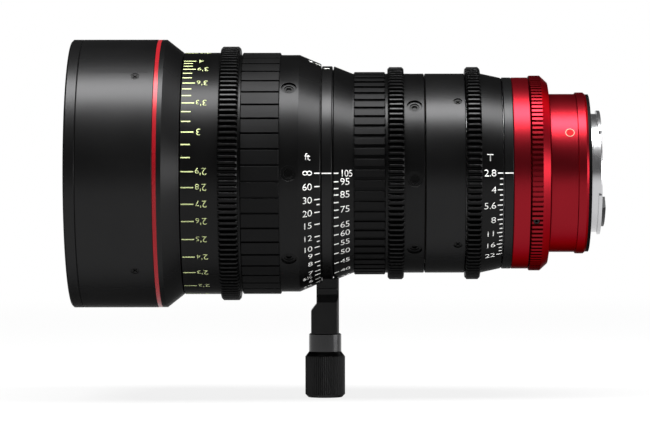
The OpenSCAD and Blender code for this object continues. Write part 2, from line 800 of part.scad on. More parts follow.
module zoom_cam_drum() color("#b9a25a") {
    in_r = zoom_sleeve_r + run_fit;
    difference() {
        tube(zoom_drum_r, in_r, zoom_drum_f, zoom_drum_back);
        for (i = [0:follower_count - 1]) {
            cam_cut(in_r - over, zoom_drum_r + over, pin_r + cam_fit, variator_pin_x, -variator_travel,
                i * 360 / follower_count, zoom_turn);
            cam_cut(in_r - over, zoom_drum_r + over, pin_r + cam_fit, compensator_pin_x, -compensator_travel,
                i * 360 / follower_count, zoom_turn);
        }
        for (i = [0:ring_screw_count - 1]) at_side(zoom_screw_angle + i * 360 / ring_screw_count, zoom_sink_x)
            translate([0, 0, zoom_screw_top]) cap_hole(ring_screw_r, ring_screw_l * 2);
    }
}

module zoom_screws() color("#2c2c2e") for (i = [0:ring_screw_count - 1])
    at_side(zoom_screw_angle + i * 360 / ring_screw_count, zoom_sink_x) translate([0, 0, zoom_screw_top])
        cap_screw(ring_screw_r, zoom_screw_top - zoom_drum_r + ring_screw_l / 2);

module zoom_sleeve() color("#8d8f93") {
    in_r = zoom_sleeve_r - zoom_sleeve_wall;
    slot = pin_r + cam_fit;
    x_f = variator_pin_x - variator_travel - variator_front - cam_edge;
    difference() {
        tube(zoom_sleeve_r, in_r, x_f, x_house_seat);
        for (i = [0:follower_count - 1]) {
            straight_cut(in_r - over, zoom_sleeve_r + over, slot, variator_pin_x - variator_travel,
                variator_pin_x,
                i * 360 / follower_count);
            straight_cut(in_r - over, zoom_sleeve_r + over, slot, compensator_pin_x - compensator_travel,
                compensator_pin_x, i * 360 / follower_count);
        }
    }
}

// A cell that carries one glass in the zoom sleeve
module zoom_cell(pin_x, front, rear, glass_l) {
    seat = zoom_cell_r - zoom_cell_wall;
    ledge = seat - ledge_w;
    x0 = pin_x - front;
    turned([[seat, x0], [zoom_cell_r, x0], [zoom_cell_r, pin_x + rear], [ledge, pin_x + rear],
        [ledge, x0 + glass_l + fine_edge], [seat, x0 + glass_l + fine_edge]]);
    followers(zoom_cell_r - zoom_cell_wall / 2, zoom_drum_r - pin_short, pin_x, pin_r, 0);
}

module variator_cell() color("#141416")
    zoom_cell(variator_pin_x, variator_front, variator_rear, variator_glass_l);
module compensator_cell() color("#141416")
    zoom_cell(compensator_pin_x, compensator_front, compensator_rear, compensator_glass_l);

module variator_glass() color("#26304a", 0.6)
    lens(zoom_cell_r - zoom_cell_wall - run_fit, variator_pin_x - variator_front + fine_edge,
        variator_glass_l,
        -variator_glass_out_r, -variator_glass_in_r);
module compensator_glass() color("#26304a", 0.6)
    lens(zoom_cell_r - zoom_cell_wall - run_fit, compensator_pin_x - compensator_front + fine_edge,
        compensator_glass_l, compensator_glass_in_r, compensator_glass_out_r);

module fixed_barrel() color("#1b1b1d") difference() {
    turned([[fixed_bore_r, x_fixed_f], [fixed_r - fine_edge, x_fixed_f], [fixed_r, x_fixed_f + fine_edge],
        [fixed_r, x_fixed_r - fine_edge], [fixed_r - fine_edge, x_fixed_r], [fixed_bore_r, x_fixed_r]]);
    side_screws(fixed_screw_x) translate([0, 0, fixed_screw_top]) screw_hole(fixed_screw_r, fixed_wall * 2);
}

module fixed_barrel_screws() color("#3a3a3c") side_screws(fixed_screw_x)
    translate([0, 0, fixed_screw_top]) screw(fixed_screw_r, fixed_wall + fixed_screw_r / 2);

module iris_housing() color("#77797d") {
    seat = zoom_sleeve_r + run_fit;
    flange = fixed_bore_r - run_fit;
    lip = iris_pack_r - plate_lip;
    x_lip = x_plate - plate_l;
    key_x = x_actuator - ring_gap;
    key_sweep = iris_turn + 2 * key_margin + 2 * key_half_angle;
    difference() {
        turned([[seat, x_house_f], [flange, x_house_f], [flange, x_fixed_r], [iris_house_r, x_fixed_r],
            [iris_house_r, x_band + house_spigot_l], [iris_pack_r, x_band + house_spigot_l],
            [iris_pack_r, x_lip],
            [lip, x_lip], [lip, x_house_seat], [seat, x_house_seat]]);
        translate([key_x, 0, 0]) sector(key_angle - key_half_angle - key_margin - iris_turn, key_sweep)
            translate([iris_pack_r - over, 0]) square([iris_wall + 2 * over, actuator_l + 2 * ring_gap]);
        side_screws(fixed_screw_x) translate([0, 0, fixed_screw_top])
            screw_hole(fixed_screw_r, fixed_wall + fixed_screw_r / 2);
    }
}

module iris_base_plate() color("#4a4a4d") {
    union() {
        tube(iris_pack_r - run_fit, stop_open_r + fine_edge, x_plate - plate_l, x_plate);
        around(blade_count) translate([x_plate - plate_l / 2, 0, -pivot_r]) rotate([0, 90, 0])
            cylinder(r = post_r, h = plate_l / 2 + blade_count * blade_step + blade_step, $fn = small_fn);
    }
}

// One blade of the iris seen along the axis, wide open, its pivot on the first axis
module blade_outline() difference() {
    union() {
        intersection() {
            difference() {
                circle(r = stop_open_r + blade_w, $fn = round_fn);
                circle(r = stop_open_r, $fn = round_fn);
            }
            polygon([[0, 0], polar(2 * pivot_r, 0), polar(2 * pivot_r, blade_arc / 2),
                polar(2 * pivot_r, blade_arc)]);
        }
        translate(polar(stop_open_r + blade_w / 2, blade_arc)) circle(r = blade_w / 2, $fn = small_fn);
        translate([stop_open_r + blade_w / 2, -tab_r]) square([pivot_r - stop_open_r - blade_w / 2,
            2 * tab_r]);
        translate([pivot_r, 0]) circle(r = tab_r, $fn = small_fn);
        translate([pivot_r, 0]) rotate(drive_angle) translate([0, -arm_r]) square([drive_arm, 2 * arm_r]);
        translate([pivot_r, 0] + polar(drive_arm, drive_angle)) circle(r = arm_r, $fn = small_fn);
    }
    translate([pivot_r, 0]) circle(r = post_r + run_fit, $fn = small_fn);
}

// Blade i lies on its own level, and its pin reaches back into the actuator
module iris_blade(i) color("#2a2a2e") rotate([i * blade_pitch, 0, 0]) {
    x = x_blades + i * blade_step;
    across(x, blade_l) blade_outline();
    across(x, x_actuator + actuator_l - x) translate([pivot_r, 0] + polar(drive_arm, drive_angle))
        circle(r = drive_r, $fn = small_fn);
}

// Where a blade's drive pin lies in the actuator at a share t of the iris turn
function drive_place(t) = let (p = [pivot_r, 0] + polar(drive_arm, drive_angle + t * blade_swing),
    a = t * iris_turn)
    [p[0] * cos(a) - p[1] * sin(a), p[0] * sin(a) + p[1] * cos(a)];
function drive_normal(t) = let (d = drive_place(t + 0.01) - drive_place(t - 0.01)) [-d[1], d[0]] / norm(d);

// A slot that follows the drive pin as the ring turns
module drive_slot() {
    n = 18;
    w = drive_r + drive_fit;
    far = atan2(drive_normal(1)[1], drive_normal(1)[0]);
    near = atan2(drive_normal(0)[1], drive_normal(0)[0]);
    polygon(concat([for (i = [0:n]) drive_place(i / n) + w * drive_normal(i / n)],
        [for (i = [1:slot_end_steps - 1]) drive_place(1) + polar(w, far - i * 180 / slot_end_steps)],
        [for (i = [n:-1:0]) drive_place(i / n) - w * drive_normal(i / n)],
        [for (i = [1:slot_end_steps - 1]) drive_place(0) - polar(w, near - i * 180 / slot_end_steps)]));
}

module iris_actuator() color("#5a5a5e") difference() {
    union() {
        tube(iris_pack_r - ring_gap, stop_open_r + fine_edge, x_actuator, x_actuator + actuator_l);
        at_side(key_angle, x_actuator) translate([0, -key_half, iris_pack_r - 2 * over])
            cube([actuator_l, 2 * key_half, iris_wall + 2 * over + key_depth - ring_gap]);
    }
    for (i = [0:blade_count - 1]) rotate([i * blade_pitch, 0, 0])
        across(x_actuator - over, actuator_l + 2 * over) drive_slot();
}

module iris_ring() color("#19191b") {
    bore = iris_house_r + run_fit;
    core = gear_root(iris_teeth) - fine_edge;
    difference() {
        union() {
            turned([[bore, x_iris_f], [core, x_iris_f], [core, x_iris_f + iris_gear_l],
                [iris_front_r, x_iris_gear],
                [iris_rear_r, x_iris_r - fine_edge], [iris_rear_r - fine_edge, x_iris_r], [bore, x_iris_r]]);
            gear_ring(iris_teeth, core - fine_edge, x_iris_f, iris_gear_l);
        }
        at_side(key_angle, x_actuator - run_fit) translate([0, -key_half - run_fit, iris_house_r - over])
            cube([x_iris_r - x_actuator + over, 2 * key_half + 2 * run_fit, over + key_depth]);
    }
}

module iris_index_ring() color("#1b1b1d") {
    bore = iris_house_r + run_fit;
    turned([[bore, x_iris_index], [iris_index_r - fine_edge, x_iris_index],
        [iris_index_r, x_iris_index + fine_edge],
        [iris_index_r, x_band - seam_w], [iris_index_r - seam_d, x_band], [bore, x_band]]);
}

module rear_band() color("#b3182c") {
    seat = iris_house_r + run_fit;
    bore = neck_r + run_fit;
    x_web = x_band + house_spigot_l;
    turned([[seat, x_band], [band_r - seam_d, x_band], [band_r, x_band + seam_w],
        [band_r, x_adjust - fine_edge],
        [band_r - fine_edge, x_adjust], [bore, x_adjust], [bore, x_web], [seat, x_web]]);
}

// The flange focus ring turned about the axis, with its front part lowered by a depth
module adjust_profile(depth) {
    x1 = x_rear - adjust_run;
    step = depth > 0 ? [[adjust_r - depth, x_knurl_r]] : [];
    turned(concat([[neck_r + run_fit, x_knurl_f], [adjust_r - fine_edge - depth, x_knurl_f],
        [adjust_r - depth, x_knurl_f + fine_edge]], step, [[adjust_r, x_knurl_r],
        [adjust_cone_r, x1 - fine_edge], [adjust_rear_r, x1], [neck_r + run_fit, x1]]));
}

module adjust_ring() color("#b3182c") {
    pitch = 360 / adjust_teeth;
    half = pitch * knurl_share / 2;
    core = neck_r + groove_depth;
    sides = [[core, -half], [adjust_r + over, -half], [adjust_r + over, half], [core, half]];
    difference() {
        union() {
            adjust_profile(knurl_depth);
            intersection() {
                adjust_profile(0);
                across(x_knurl_f - over, knurl_l + over + fine_edge)
                    polygon([for (i = [0:adjust_teeth - 1]) for (s = sides) polar(s[0], i * pitch + s[1])]);
            }
        }
        cam_cut(neck_r - over, neck_r + groove_depth, relay_pin_r + cam_fit, relay_pin_x + relay_travel,
            -2 * relay_travel, relay_angle - adjust_turn, 2 * adjust_turn);
        at_side(lock_angle, lock_x) cylinder(r = lock_r + run_fit, h = adjust_r + over, $fn = small_fn);
    }
}

module adjust_lock_screw() color("#161617") {
    r0 = neck_r + 2 * run_fit;
    l = adjust_r - knurl_depth - r0;
    at_side(lock_angle, lock_x) translate([0, 0, r0]) difference() {
        cylinder(r = lock_r, h = l, $fn = small_fn);
        translate([0, 0, l - lock_r]) cylinder(r = lock_r / 2, h = lock_r + over, $fn = 6);
    }
}

module rear_barrel() color("#b3182c") {
    in_r = neck_r - neck_wall;
    x_f = x_adjust - neck_l;
    x_web = x_rim - rear_web_l;
    web = relay_r + relay_tube_wall + 2 * run_fit;
    slot = relay_pin_r + cam_fit;
    difference() {
        turned([[in_r, x_f], [neck_r, x_f], [neck_r, x_rear], [rear_r - fine_edge, x_rear],
            [rear_r, x_rear + fine_edge],
            [rear_r, x_rim], [web, x_rim], [web, x_web], [in_r, x_web]]);
        straight_cut(in_r - over, neck_r + over, slot, relay_pin_x - relay_travel, relay_pin_x + relay_travel,
            relay_angle);
    }
}

module relay_sleeve() color("#8d8f93") {
    in_r = relay_r + run_fit;
    out_r = in_r + relay_tube_wall;
    slot = relay_pin_r + cam_fit;
    difference() {
        turned([[in_r, x_relay_f], [iris_pack_r - run_fit, x_relay_f], [iris_pack_r - run_fit,
            x_relay_f + relay_flange_l],
            [out_r, x_relay_f + relay_flange_l], [out_r, x_rim], [in_r, x_rim]]);
        straight_cut(in_r - over, out_r + over, slot, relay_pin_x - relay_travel, relay_pin_x + relay_travel,
            relay_angle);
    }
}

module relay_cell() color("#141416") {
    ledge = relay_seat_r - ledge_w;
    xa = x_relay_cell_f + relay_glass_l + fine_edge;
    xb = x_relay_cell_r - relay_glass_l - fine_edge;
    union() {
        turned([[relay_seat_r, x_relay_cell_f], [relay_r, x_relay_cell_f], [relay_r, x_relay_cell_r],
            [relay_seat_r, x_relay_cell_r], [relay_seat_r, xb], [ledge, xb], [ledge, xa],
            [relay_seat_r, xa]]);
        at_side(relay_angle, relay_pin_x) translate([0, 0, relay_r - relay_wall / 2])
            cylinder(r = relay_pin_r, h = neck_r + groove_depth - pin_short - relay_r + relay_wall / 2,
                $fn = small_fn);
    }
}

module relay_front_glass() color("#26304a", 0.6)
    lens(relay_seat_r - run_fit, x_relay_cell_f + fine_edge, relay_glass_l, -relay_glass_in_r,
        relay_glass_out_r);
module relay_rear_glass() color("#26304a", 0.6)
    lens(relay_seat_r - run_fit, x_relay_cell_r - relay_glass_l - fine_edge, relay_glass_l, relay_glass_in_r,
        -relay_glass_in_r);

module rear_rim() color("#b3182c") {
    x_edge = x_seal - rim_edge;
    difference() {
        turned([[rim_bore_r, x_rim], [rim_r - fine_edge, x_rim], [rim_r, x_rim + fine_edge], [rim_r, x_edge],
            [seal_r, x_seal], [rim_bore_r, x_seal]]);
        mount_screw_places(0) screw_hole(mount_screw_r, rim_l - fine_edge);
    }
}

module mount_seal() color("#0f0f10") tube(seal_r, flange_r + run_fit, x_seal, -seal_back);

// Screw places on the flange, with +Z towards the camera
module mount_screw_places(x) around(mount_screw_count, 45)
    translate([x, 0, -mount_screw_circle_r]) rotate([0, 90, 0]) children();

module bayonet_mount() color("#c9cacd") {
    in_r = bayonet_r - bayonet_wall;
    difference() {
        union() {
            turned([[in_r, x_rim + fine_edge], [bayonet_r, x_rim + fine_edge], [bayonet_r, x_seal],
                [flange_r, x_seal],
                [flange_r, 0], [bayonet_r, 0], [bayonet_r, bayonet_l - tube_edge],
                [bayonet_r - tube_edge, bayonet_l],
                [in_r, bayonet_l]]);
            for (i = [0:lug_count - 1]) translate([lug_gap, 0, 0]) sector(lug_start + i * 360 / lug_count,
                lug_arc)
                translate([in_r + bayonet_wall / 2, 0]) square([lug_r - in_r - bayonet_wall / 2, lug_l]);
        }
        mount_screw_places(0) screw_hole(mount_screw_r, rim_l);
    }
}

module bayonet_screws() color("#b8b9bc") mount_screw_places(0) screw(mount_screw_r, rim_l / 2 + flange_l);

module contact_block() color("#141415") {
    out_r = bayonet_r - bayonet_wall - run_fit;
    x0 = x_rim + fine_edge;
    union() {
        turned([[baffle_r, x0], [out_r, x0], [out_r, x0 + baffle_l], [baffle_r, x0 + baffle_l]]);
        translate([x0 + baffle_l / 2, 0, 0]) sector(90 - block_arc / 2, block_arc)
            translate([block_in_r, 0]) square([out_r - block_step - block_in_r,
                contact_l - x0 - baffle_l / 2]);
    }
}

module contact_pins() color("#c9a24a") for (i = [0:contact_count - 1])
    rotate([(i - (contact_count - 1) / 2) * contact_pitch, 0, 0]) translate([contact_l, 0, -contact_circle_r])
        rotate([0, 90, 0]) cylinder(r = contact_r, h = contact_out, $fn = small_fn);

// Keeps what lies inside the foot's outline seen from below, with its corners broken
module foot_plan() intersection() {
    children();
    w = foot_w / 2;
    c = foot_corner;
    translate([0, 0, -foot_block_z]) linear_extrude(foot_block_z) polygon([[x_block_f + c, -w],
        [x_foot_r - c, -w],
        [x_foot_r, -w + c], [x_foot_r, w - c], [x_foot_r - c, w], [x_block_f + c, w], [x_block_f, w - c],
        [x_block_f, -w + c]]);
}

// Room over the foot for the rings that turn there
module foot_room() {
    rise = (focus_hole_r - focus_taper_r) / focus_taper_l;
    fall = (zoom_front_r - zoom_r) / zoom_taper_l;
    x0 = x_foot_f - over;
    x1 = x_foot_r + over;
    r_f = focus_taper_r + foot_top_gap;
    r_mid = index_r + run_fit;
    r_r = zoom_front_r + foot_top_gap;
    turned([[0, x0], [r_f + rise * (x_focus_r - x0), x0], [r_f, x_focus_r], [r_f, x_index_f],
        [r_mid, x_index_f], [r_mid, x_index_r], [r_r, x_index_r], [r_r, x_zoom_f],
        [r_r - fall * (x1 - x_zoom_f), x1], [0, x1]]);
}

module foot_bracket() color("#1b1b1d") {
    z_rail = foot_ledge_z + rail_h;
    z_recess = z_rail + recess_h;
    z_fillet = z_recess + fillet_h;
    w = foot_w / 2;
    difference() {
        foot_plan() translate([0, w, 0]) rotate([90, 0, 0]) linear_extrude(foot_w) polygon([
            [x_foot_f, -foot_top_z], [x_foot_r, -foot_top_z], [x_foot_r, -foot_block_z],
            [x_block_f, -foot_block_z], [x_block_f, -foot_shoulder_z],
            [x_foot_f, foot_step_h - foot_shoulder_z]]);
        for (side = [-1, 1]) across(x_block_f - over, foot_block_l + 2 * over) {
            polygon([[foot_top_z - over, side * (w + over)], [foot_top_z - over, side * (w - foot_ledge_d)],
                [foot_ledge_z, side * (w - foot_ledge_d)], [foot_ledge_z, side * (w + over)]]);
            polygon([[z_rail, side * (w + over)], [z_rail, side * (w - recess_d)],
                [z_recess, side * (w - recess_d)], [z_fillet, side * w], [z_fillet, side * (w + over)]]);
        }
        foot_room();
        translate([x_knob, 0, -foot_block_z - over])
            cylinder(r = stem_r + run_fit, h = stem_l + foot_travel / 2 + over, $fn = small_fn);
    }
}

module foot_collar() color("#c4c5c8") {
    z = foot_block_z + knob_seat;
    translate([x_knob, 0, -z - collar_h]) difference() {
        union() {
            rotate_extrude($fn = round_fn) polygon([[0, 0], [collar_r, 0], [collar_r, collar_h - collar_edge],
                [collar_r - collar_edge, collar_h], [0, collar_h]]);
            cylinder(r = stem_r, h = collar_h + stem_l, $fn = round_fn);
        }
        translate([0, 0, -over]) cylinder(r = screw_core_r + run_fit, h = collar_h + stem_l / 2 + over,
            $fn = small_fn);
    }
}

module foot_knob() color("#161618") {
    z = foot_block_z + knob_seat + collar_h + knob_seat;
    rib = 360 / knob_ribs;
    translate([x_knob, 0, -z - knob_h]) difference() {
        union() {
            intersection() {
                linear_extrude(knob_h) polygon([for (i = [0:knob_ribs - 1])
                    for (s = [[0, 0], [knob_rib_d, 0.5]])
                    polar(knob_r - s[0], (i + s[1]) * rib)]);
                rotate_extrude($fn = round_fn) polygon([[0, 0], [knob_r - knob_edge, 0],
                    [knob_r + fine_edge, knob_edge + fine_edge], [knob_r + fine_edge, knob_h - knob_cone_h],
                    [collar_r, knob_h], [0, knob_h]]);
            }
            translate([0, 0, knob_h - over])
                cylinder(r = screw_core_r, h = collar_h + stem_l / 2 + over - knob_seat, $fn = small_fn);
        }
        translate([0, 0, -over]) cylinder(r = foot_thread_r, h = foot_thread_l + over, $fn = small_fn);
    }
}

front_ring();
front_barrel();
front_barrel_screws();
accent_ring();
front_collar();
focus_sleeve();
index_ring();
foot_bracket();
zoom_sleeve();
fixed_barrel();
fixed_barrel_screws();
iris_housing();
iris_base_plate();
iris_index_ring();
rear_band();
relay_sleeve();
rear_barrel();
rear_rim();
mount_seal();
bayonet_mount();
bayonet_screws();
contact_block();
contact_pins();
focus_barrel();
focus_grip();
focus_cam_drum();
focus_screws();
focus_cell();
front_glass();
second_glass();
front_retainer();
zoom_barrel();
zoom_grip();
zoom_cam_drum();
zoom_screws();
variator_cell();
variator_glass();
compensator_cell();
compensator_glass();
iris_ring();
iris_actuator();
for (i = [0:blade_count - 1]) iris_blade(i);
adjust_ring();
adjust_lock_screw();
relay_cell();
relay_front_glass();
relay_rear_glass();
foot_collar();
foot_knob();
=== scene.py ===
import bpy, math
from mathutils import Matrix, Vector


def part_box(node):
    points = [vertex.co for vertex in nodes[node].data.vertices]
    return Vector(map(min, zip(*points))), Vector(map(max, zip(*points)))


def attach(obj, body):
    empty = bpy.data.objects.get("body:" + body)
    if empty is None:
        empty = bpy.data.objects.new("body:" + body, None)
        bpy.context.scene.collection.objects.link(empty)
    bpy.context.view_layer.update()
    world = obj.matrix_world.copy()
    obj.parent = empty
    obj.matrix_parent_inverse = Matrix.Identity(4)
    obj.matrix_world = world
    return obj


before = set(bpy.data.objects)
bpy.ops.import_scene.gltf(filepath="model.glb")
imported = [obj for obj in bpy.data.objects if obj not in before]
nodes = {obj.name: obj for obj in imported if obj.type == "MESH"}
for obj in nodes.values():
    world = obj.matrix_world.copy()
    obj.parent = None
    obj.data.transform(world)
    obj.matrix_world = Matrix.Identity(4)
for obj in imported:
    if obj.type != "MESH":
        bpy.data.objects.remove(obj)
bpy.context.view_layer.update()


# selecting and applying
def selectOnly(*pieces):
    bpy.ops.object.select_all(action="DESELECT")
    for piece in pieces:
        piece.select_set(True)
    bpy.context.view_layer.objects.active = pieces[0]


def applyPlace(piece):
    selectOnly(piece)
    bpy.ops.object.transform_apply(location=True, rotation=True, scale=True)


def applyModifiers(piece):
    selectOnly(piece)
    for modifier in list(piece.modifiers):
        bpy.ops.object.modifier_apply(modifier=modifier.name)


# nodes that the materials and effects share
def setOrLink(tree, value, socket):
    if isinstance(value, (int, float, tuple)):
        socket.default_value = value
    else:
        tree.links.new(value, socket)


def mathNode(tree, operation, *values):
    node = tree.nodes.new("ShaderNodeMath")
    node.operation = operation
    for value, socket in zip(values, node.inputs):
        setOrLink(tree, value, socket)
    return node.outputs[0]


def mixColors(tree, share, first, second):
    node = tree.nodes.new("ShaderNodeMix")
    node.data_type = "RGBA"
    for i, value in ((0, share), (6, first), (7, second)):  # a Mix node's colors are its sockets 6 and 7
        setOrLink(tree, value, node.inputs[i])
    return node.outputs[2]


def noiseNode(tree, vector, scale, detail=2.0, roughness=0.5, dimensions="3D"):
    node = tree.nodes.new("ShaderNodeTexNoise")
    node.noise_dimensions = dimensions
    node.inputs["Detail"].default_value = detail
    node.inputs["Roughness"].default_value = roughness
    setOrLink(tree, scale, node.inputs["Scale"])
    setOrLink(tree, vector, node.inputs["W" if dimensions == "1D" else "Vector"])
    return node.outputs["Fac"]


def smoothStep(tree, value, low, high, start=0.0, end=1.0):
    node = tree.nodes.new("ShaderNodeMapRange")
    node.interpolation_type = "SMOOTHSTEP"
    labels = ("Value", "From Min", "From Max", "To Min", "To Max")
    for label, entry in zip(labels, (value, low, high, start, end)):
        setOrLink(tree, entry, node.inputs[label])
    return node.outputs["Result"]


def objectPlace(tree):
    return tree.nodes.new("ShaderNodeTexCoord").outputs["Object"]


def placeParts(tree, spot):
    parts = tree.nodes.new("ShaderNodeSeparateXYZ")
    tree.links.new(spot, parts.inputs[0])
    return parts.outputs


# camera, floor and lamps; the camera looks level from 1.5 m, and the lens is set in its frame by shifts, not by aim
cameraSettings = {"focal": 194.93, "sensor": 36, "place": (-0.0949, -1.5, 0.0), "shift": (-0.0615, -0.0666),
                  "roll": 0.075, "clipEnd": 100}


def addCamera():
    bpy.ops.object.camera_add(location=cameraSettings["place"],
                              rotation=(math.radians(90), math.radians(cameraSettings["roll"]), 0))
    camera = bpy.context.object
    camera.name = "photoCamera"
    camera.data.sensor_width = cameraSettings["sensor"]
    camera.data.lens = cameraSettings["focal"]
    camera.data.shift_x, camera.data.shift_y = cameraSettings["shift"]
    camera.data.clip_end = cameraSettings["clipEnd"]
    bpy.context.scene.camera = camera
    print("camera placed")


studioSettings = {
    "floorSize": 14.0, "paleColor": (0.45, 0.45, 0.45, 1),
    "floorWhite": (0.86, 1.0), "nearFar": (0.35, 1.3), "wallWhite": 1.0,  # white share near the lens and far from it
    "frontFall": (-0.21, -0.60), "frontShare": 0.25, "frontColor": (0.16, 0.16, 0.16, 1),  # the floor greys out along Y
    "wallPlace": (0, 5.0, 0.35), "wallSize": (14.0, 1.1), "worldColor": (0.09, 0.09, 0.091, 1),
    "lamps": {
        "topSoftbox": {"place": (-0.08, -0.30, 1.15), "aim": (-0.1, 0, 0), "size": (1.9, 0.50), "power": 66},
        "sideSoftbox": {"place": (1.05, -0.20, 0.0), "aim": (-0.05, 0, -0.03), "size": (0.7, 0.40), "power": 6},
        "leftSoftbox": {"place": (-1.1, -0.9, 0.75), "aim": (-0.1, 0, 0), "size": (0.5, 0.5), "power": 1.2},
        "rearSoftbox": {"place": (0.9, 0.5, 0.8), "aim": (-0.05, 0, 0), "size": (0.7, 0.5), "power": 4},
    },
}


# white where the camera, metal and glass see it, and pale grey as a light on the object
def paleStageMaterial(name, near, far, frontShare):
    pale = bpy.data.materials.new(name)
    pale.use_nodes = True
    tree = pale.node_tree
    tree.nodes.clear()
    spot = objectPlace(tree)
    reach = tree.nodes.new("ShaderNodeVectorMath")
    reach.operation = "LENGTH"
    tree.links.new(spot, reach.inputs[0])
    # whiter away from the lens, so that its shadow stays near it, and grey in front of the picture
    white = smoothStep(tree, reach.outputs["Value"], *studioSettings["nearFar"], near, far)
    front = smoothStep(tree, placeParts(tree, spot)["Y"], *studioSettings["frontFall"], 1.0, frontShare)

    plain = tree.nodes.new("ShaderNodeBsdfDiffuse")
    tone = mixColors(tree, front, studioSettings["frontColor"], studioSettings["paleColor"])
    tree.links.new(tone, plain.inputs["Color"])
    glow = tree.nodes.new("ShaderNodeEmission")
    glow.inputs["Color"].default_value = (1, 1, 1, 1)
    path = tree.nodes.new("ShaderNodeLightPath")
    seen = mathNode(tree, "MAXIMUM", path.outputs["Is Camera Ray"], path.outputs["Is Glossy Ray"])
    seen = mathNode(tree, "MAXIMUM", seen, path.outputs["Is Transmission Ray"])
    share = mathNode(tree, "MULTIPLY", seen, mathNode(tree, "MULTIPLY", white, front))
    mix = tree.nodes.new("ShaderNodeMixShader")
    tree.links.new(share, mix.inputs["Fac"])
    tree.links.new(plain.outputs[0], mix.inputs[1])
    tree.links.new(glow.outputs[0], mix.inputs[2])
    out = tree.nodes.new("ShaderNodeOutputMaterial")
    tree.links.new(mix.outputs[0], out.inputs["Surface"])
    return pale


def addStudio():
    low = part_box("foot_knob")[0].z
    bpy.ops.mesh.primitive_plane_add(size=studioSettings["floorSize"], location=(0, 0, low))
    floor = bpy.context.object
    floor.name = "floor"
    floorWhite, wallWhite = studioSettings["floorWhite"], studioSettings["wallWhite"]
    floor.data.materials.append(paleStageMaterial("paleFloor", *floorWhite, studioSettings["frontShare"]))
    wide, high = studioSettings["wallSize"]
    bpy.ops.mesh.primitive_plane_add(size=1, location=studioSettings["wallPlace"], rotation=(math.radians(90), 0, 0))
    wall = bpy.context.object
    wall.name = "wall"
    wall.scale = (wide, high, 1)
    wall.data.materials.append(paleStageMaterial("paleWall", wallWhite, wallWhite, 1.0))

    world = bpy.data.worlds.new("studioWorld")
    world.use_nodes = True
    world.node_tree.nodes["Background"].inputs["Color"].default_value = studioSettings["worldColor"]
    bpy.context.scene.world = world
    for name, lamp in studioSettings["lamps"].items():
        bpy.ops.object.light_add(type="AREA", location=lamp["place"])
        light = bpy.context.object
        light.name = name
        light.rotation_euler = (Vector(lamp["aim"]) - Vector(lamp["place"])).to_track_quat("-Z", "Y").to_euler()
        light.data.shape = "RECTANGLE"
        light.data.size, light.data.size_y = lamp["size"]
        light.data.energy = lamp["power"]
    bpy.context.scene.view_settings.view_transform = "Standard"
    print("floor, wall and lamps added")


# shared surface effects
def newGroup(name, entries, results):
    group = bpy.data.node_groups.new(name, "ShaderNodeTree")
    for label, start in entries.items():
        socket = group.interface.new_socket(label, in_out="INPUT", socket_type="NodeSocketFloat")
        socket.default_value = start
    for label in results:
        group.interface.new_socket(label, in_out="OUTPUT", socket_type="NodeSocketFloat")
    return group, group.nodes.new("NodeGroupInput"), group.nodes.new("NodeGroupOutput")


effectSettings = {
    "latheLines": {"detail": 3.0, "roughness": 0.6, "dimensions": "1D"},
    "grains": {"detail": 2.0, "roughness": 0.7},
    "patchDetail": 3.0,
    "wearBreak": (0.35, 0.65),
    "dustFacing": (0.2, 1.0), "dustBreak": (0.55, 0.8), "dustRoughness": 0.7,
}


def latheMarksGroup():
    group, entry, leave = newGroup("latheMarks", {"Lines": 6000.0, "Wander": 40.0}, ["Height", "Patch"])
    spot = objectPlace(group)
    lines = noiseNode(group, placeParts(group, spot)["X"], entry.outputs["Lines"], **effectSettings["latheLines"])
    patch = noiseNode(group, spot, entry.outputs["Wander"], effectSettings["patchDetail"])
    group.links.new(lines, leave.inputs["Height"])
    group.links.new(patch, leave.inputs["Patch"])
    return group


def fineGrainGroup():
    group, entry, leave = newGroup("fineGrain", {"Grains": 4000.0, "Wander": 60.0}, ["Height", "Patch"])
    spot = objectPlace(group)
    grains = noiseNode(group, spot, entry.outputs["Grains"], **effectSettings["grains"])
    patch = noiseNode(group, spot, entry.outputs["Wander"], effectSettings["patchDetail"])
    group.links.new(grains, leave.inputs["Height"])
    group.links.new(patch, leave.inputs["Patch"])
    return group


# lightens a rim that lies between two radii round the axis and between two places along it
def rimWearGroup():
    limits = {"From Radius": 0.0, "To Radius": 1.0, "Front": -1.0, "Back": 1.0, "Breakup": 900.0}
    group, entry, leave = newGroup("rimWear", limits, ["Mask"])
    spot = objectPlace(group)
    parts = placeParts(group, spot)
    squares = [mathNode(group, "MULTIPLY", parts[axis], parts[axis]) for axis in "YZ"]
    radius = mathNode(group, "SQRT", mathNode(group, "ADD", *squares))
    reach = smoothStep(group, radius, entry.outputs["From Radius"], entry.outputs["To Radius"])
    breakup = noiseNode(group, spot, entry.outputs["Breakup"], effectSettings["patchDetail"])
    worn = mathNode(group, "MULTIPLY", reach, smoothStep(group, breakup, *effectSettings["wearBreak"]))
    there = mathNode(group, "MULTIPLY", mathNode(group, "GREATER_THAN", parts["X"], entry.outputs["Front"]),
                     mathNode(group, "LESS_THAN", parts["X"], entry.outputs["Back"]))
    group.links.new(mathNode(group, "MULTIPLY", worn, there), leave.inputs["Mask"])
    return group


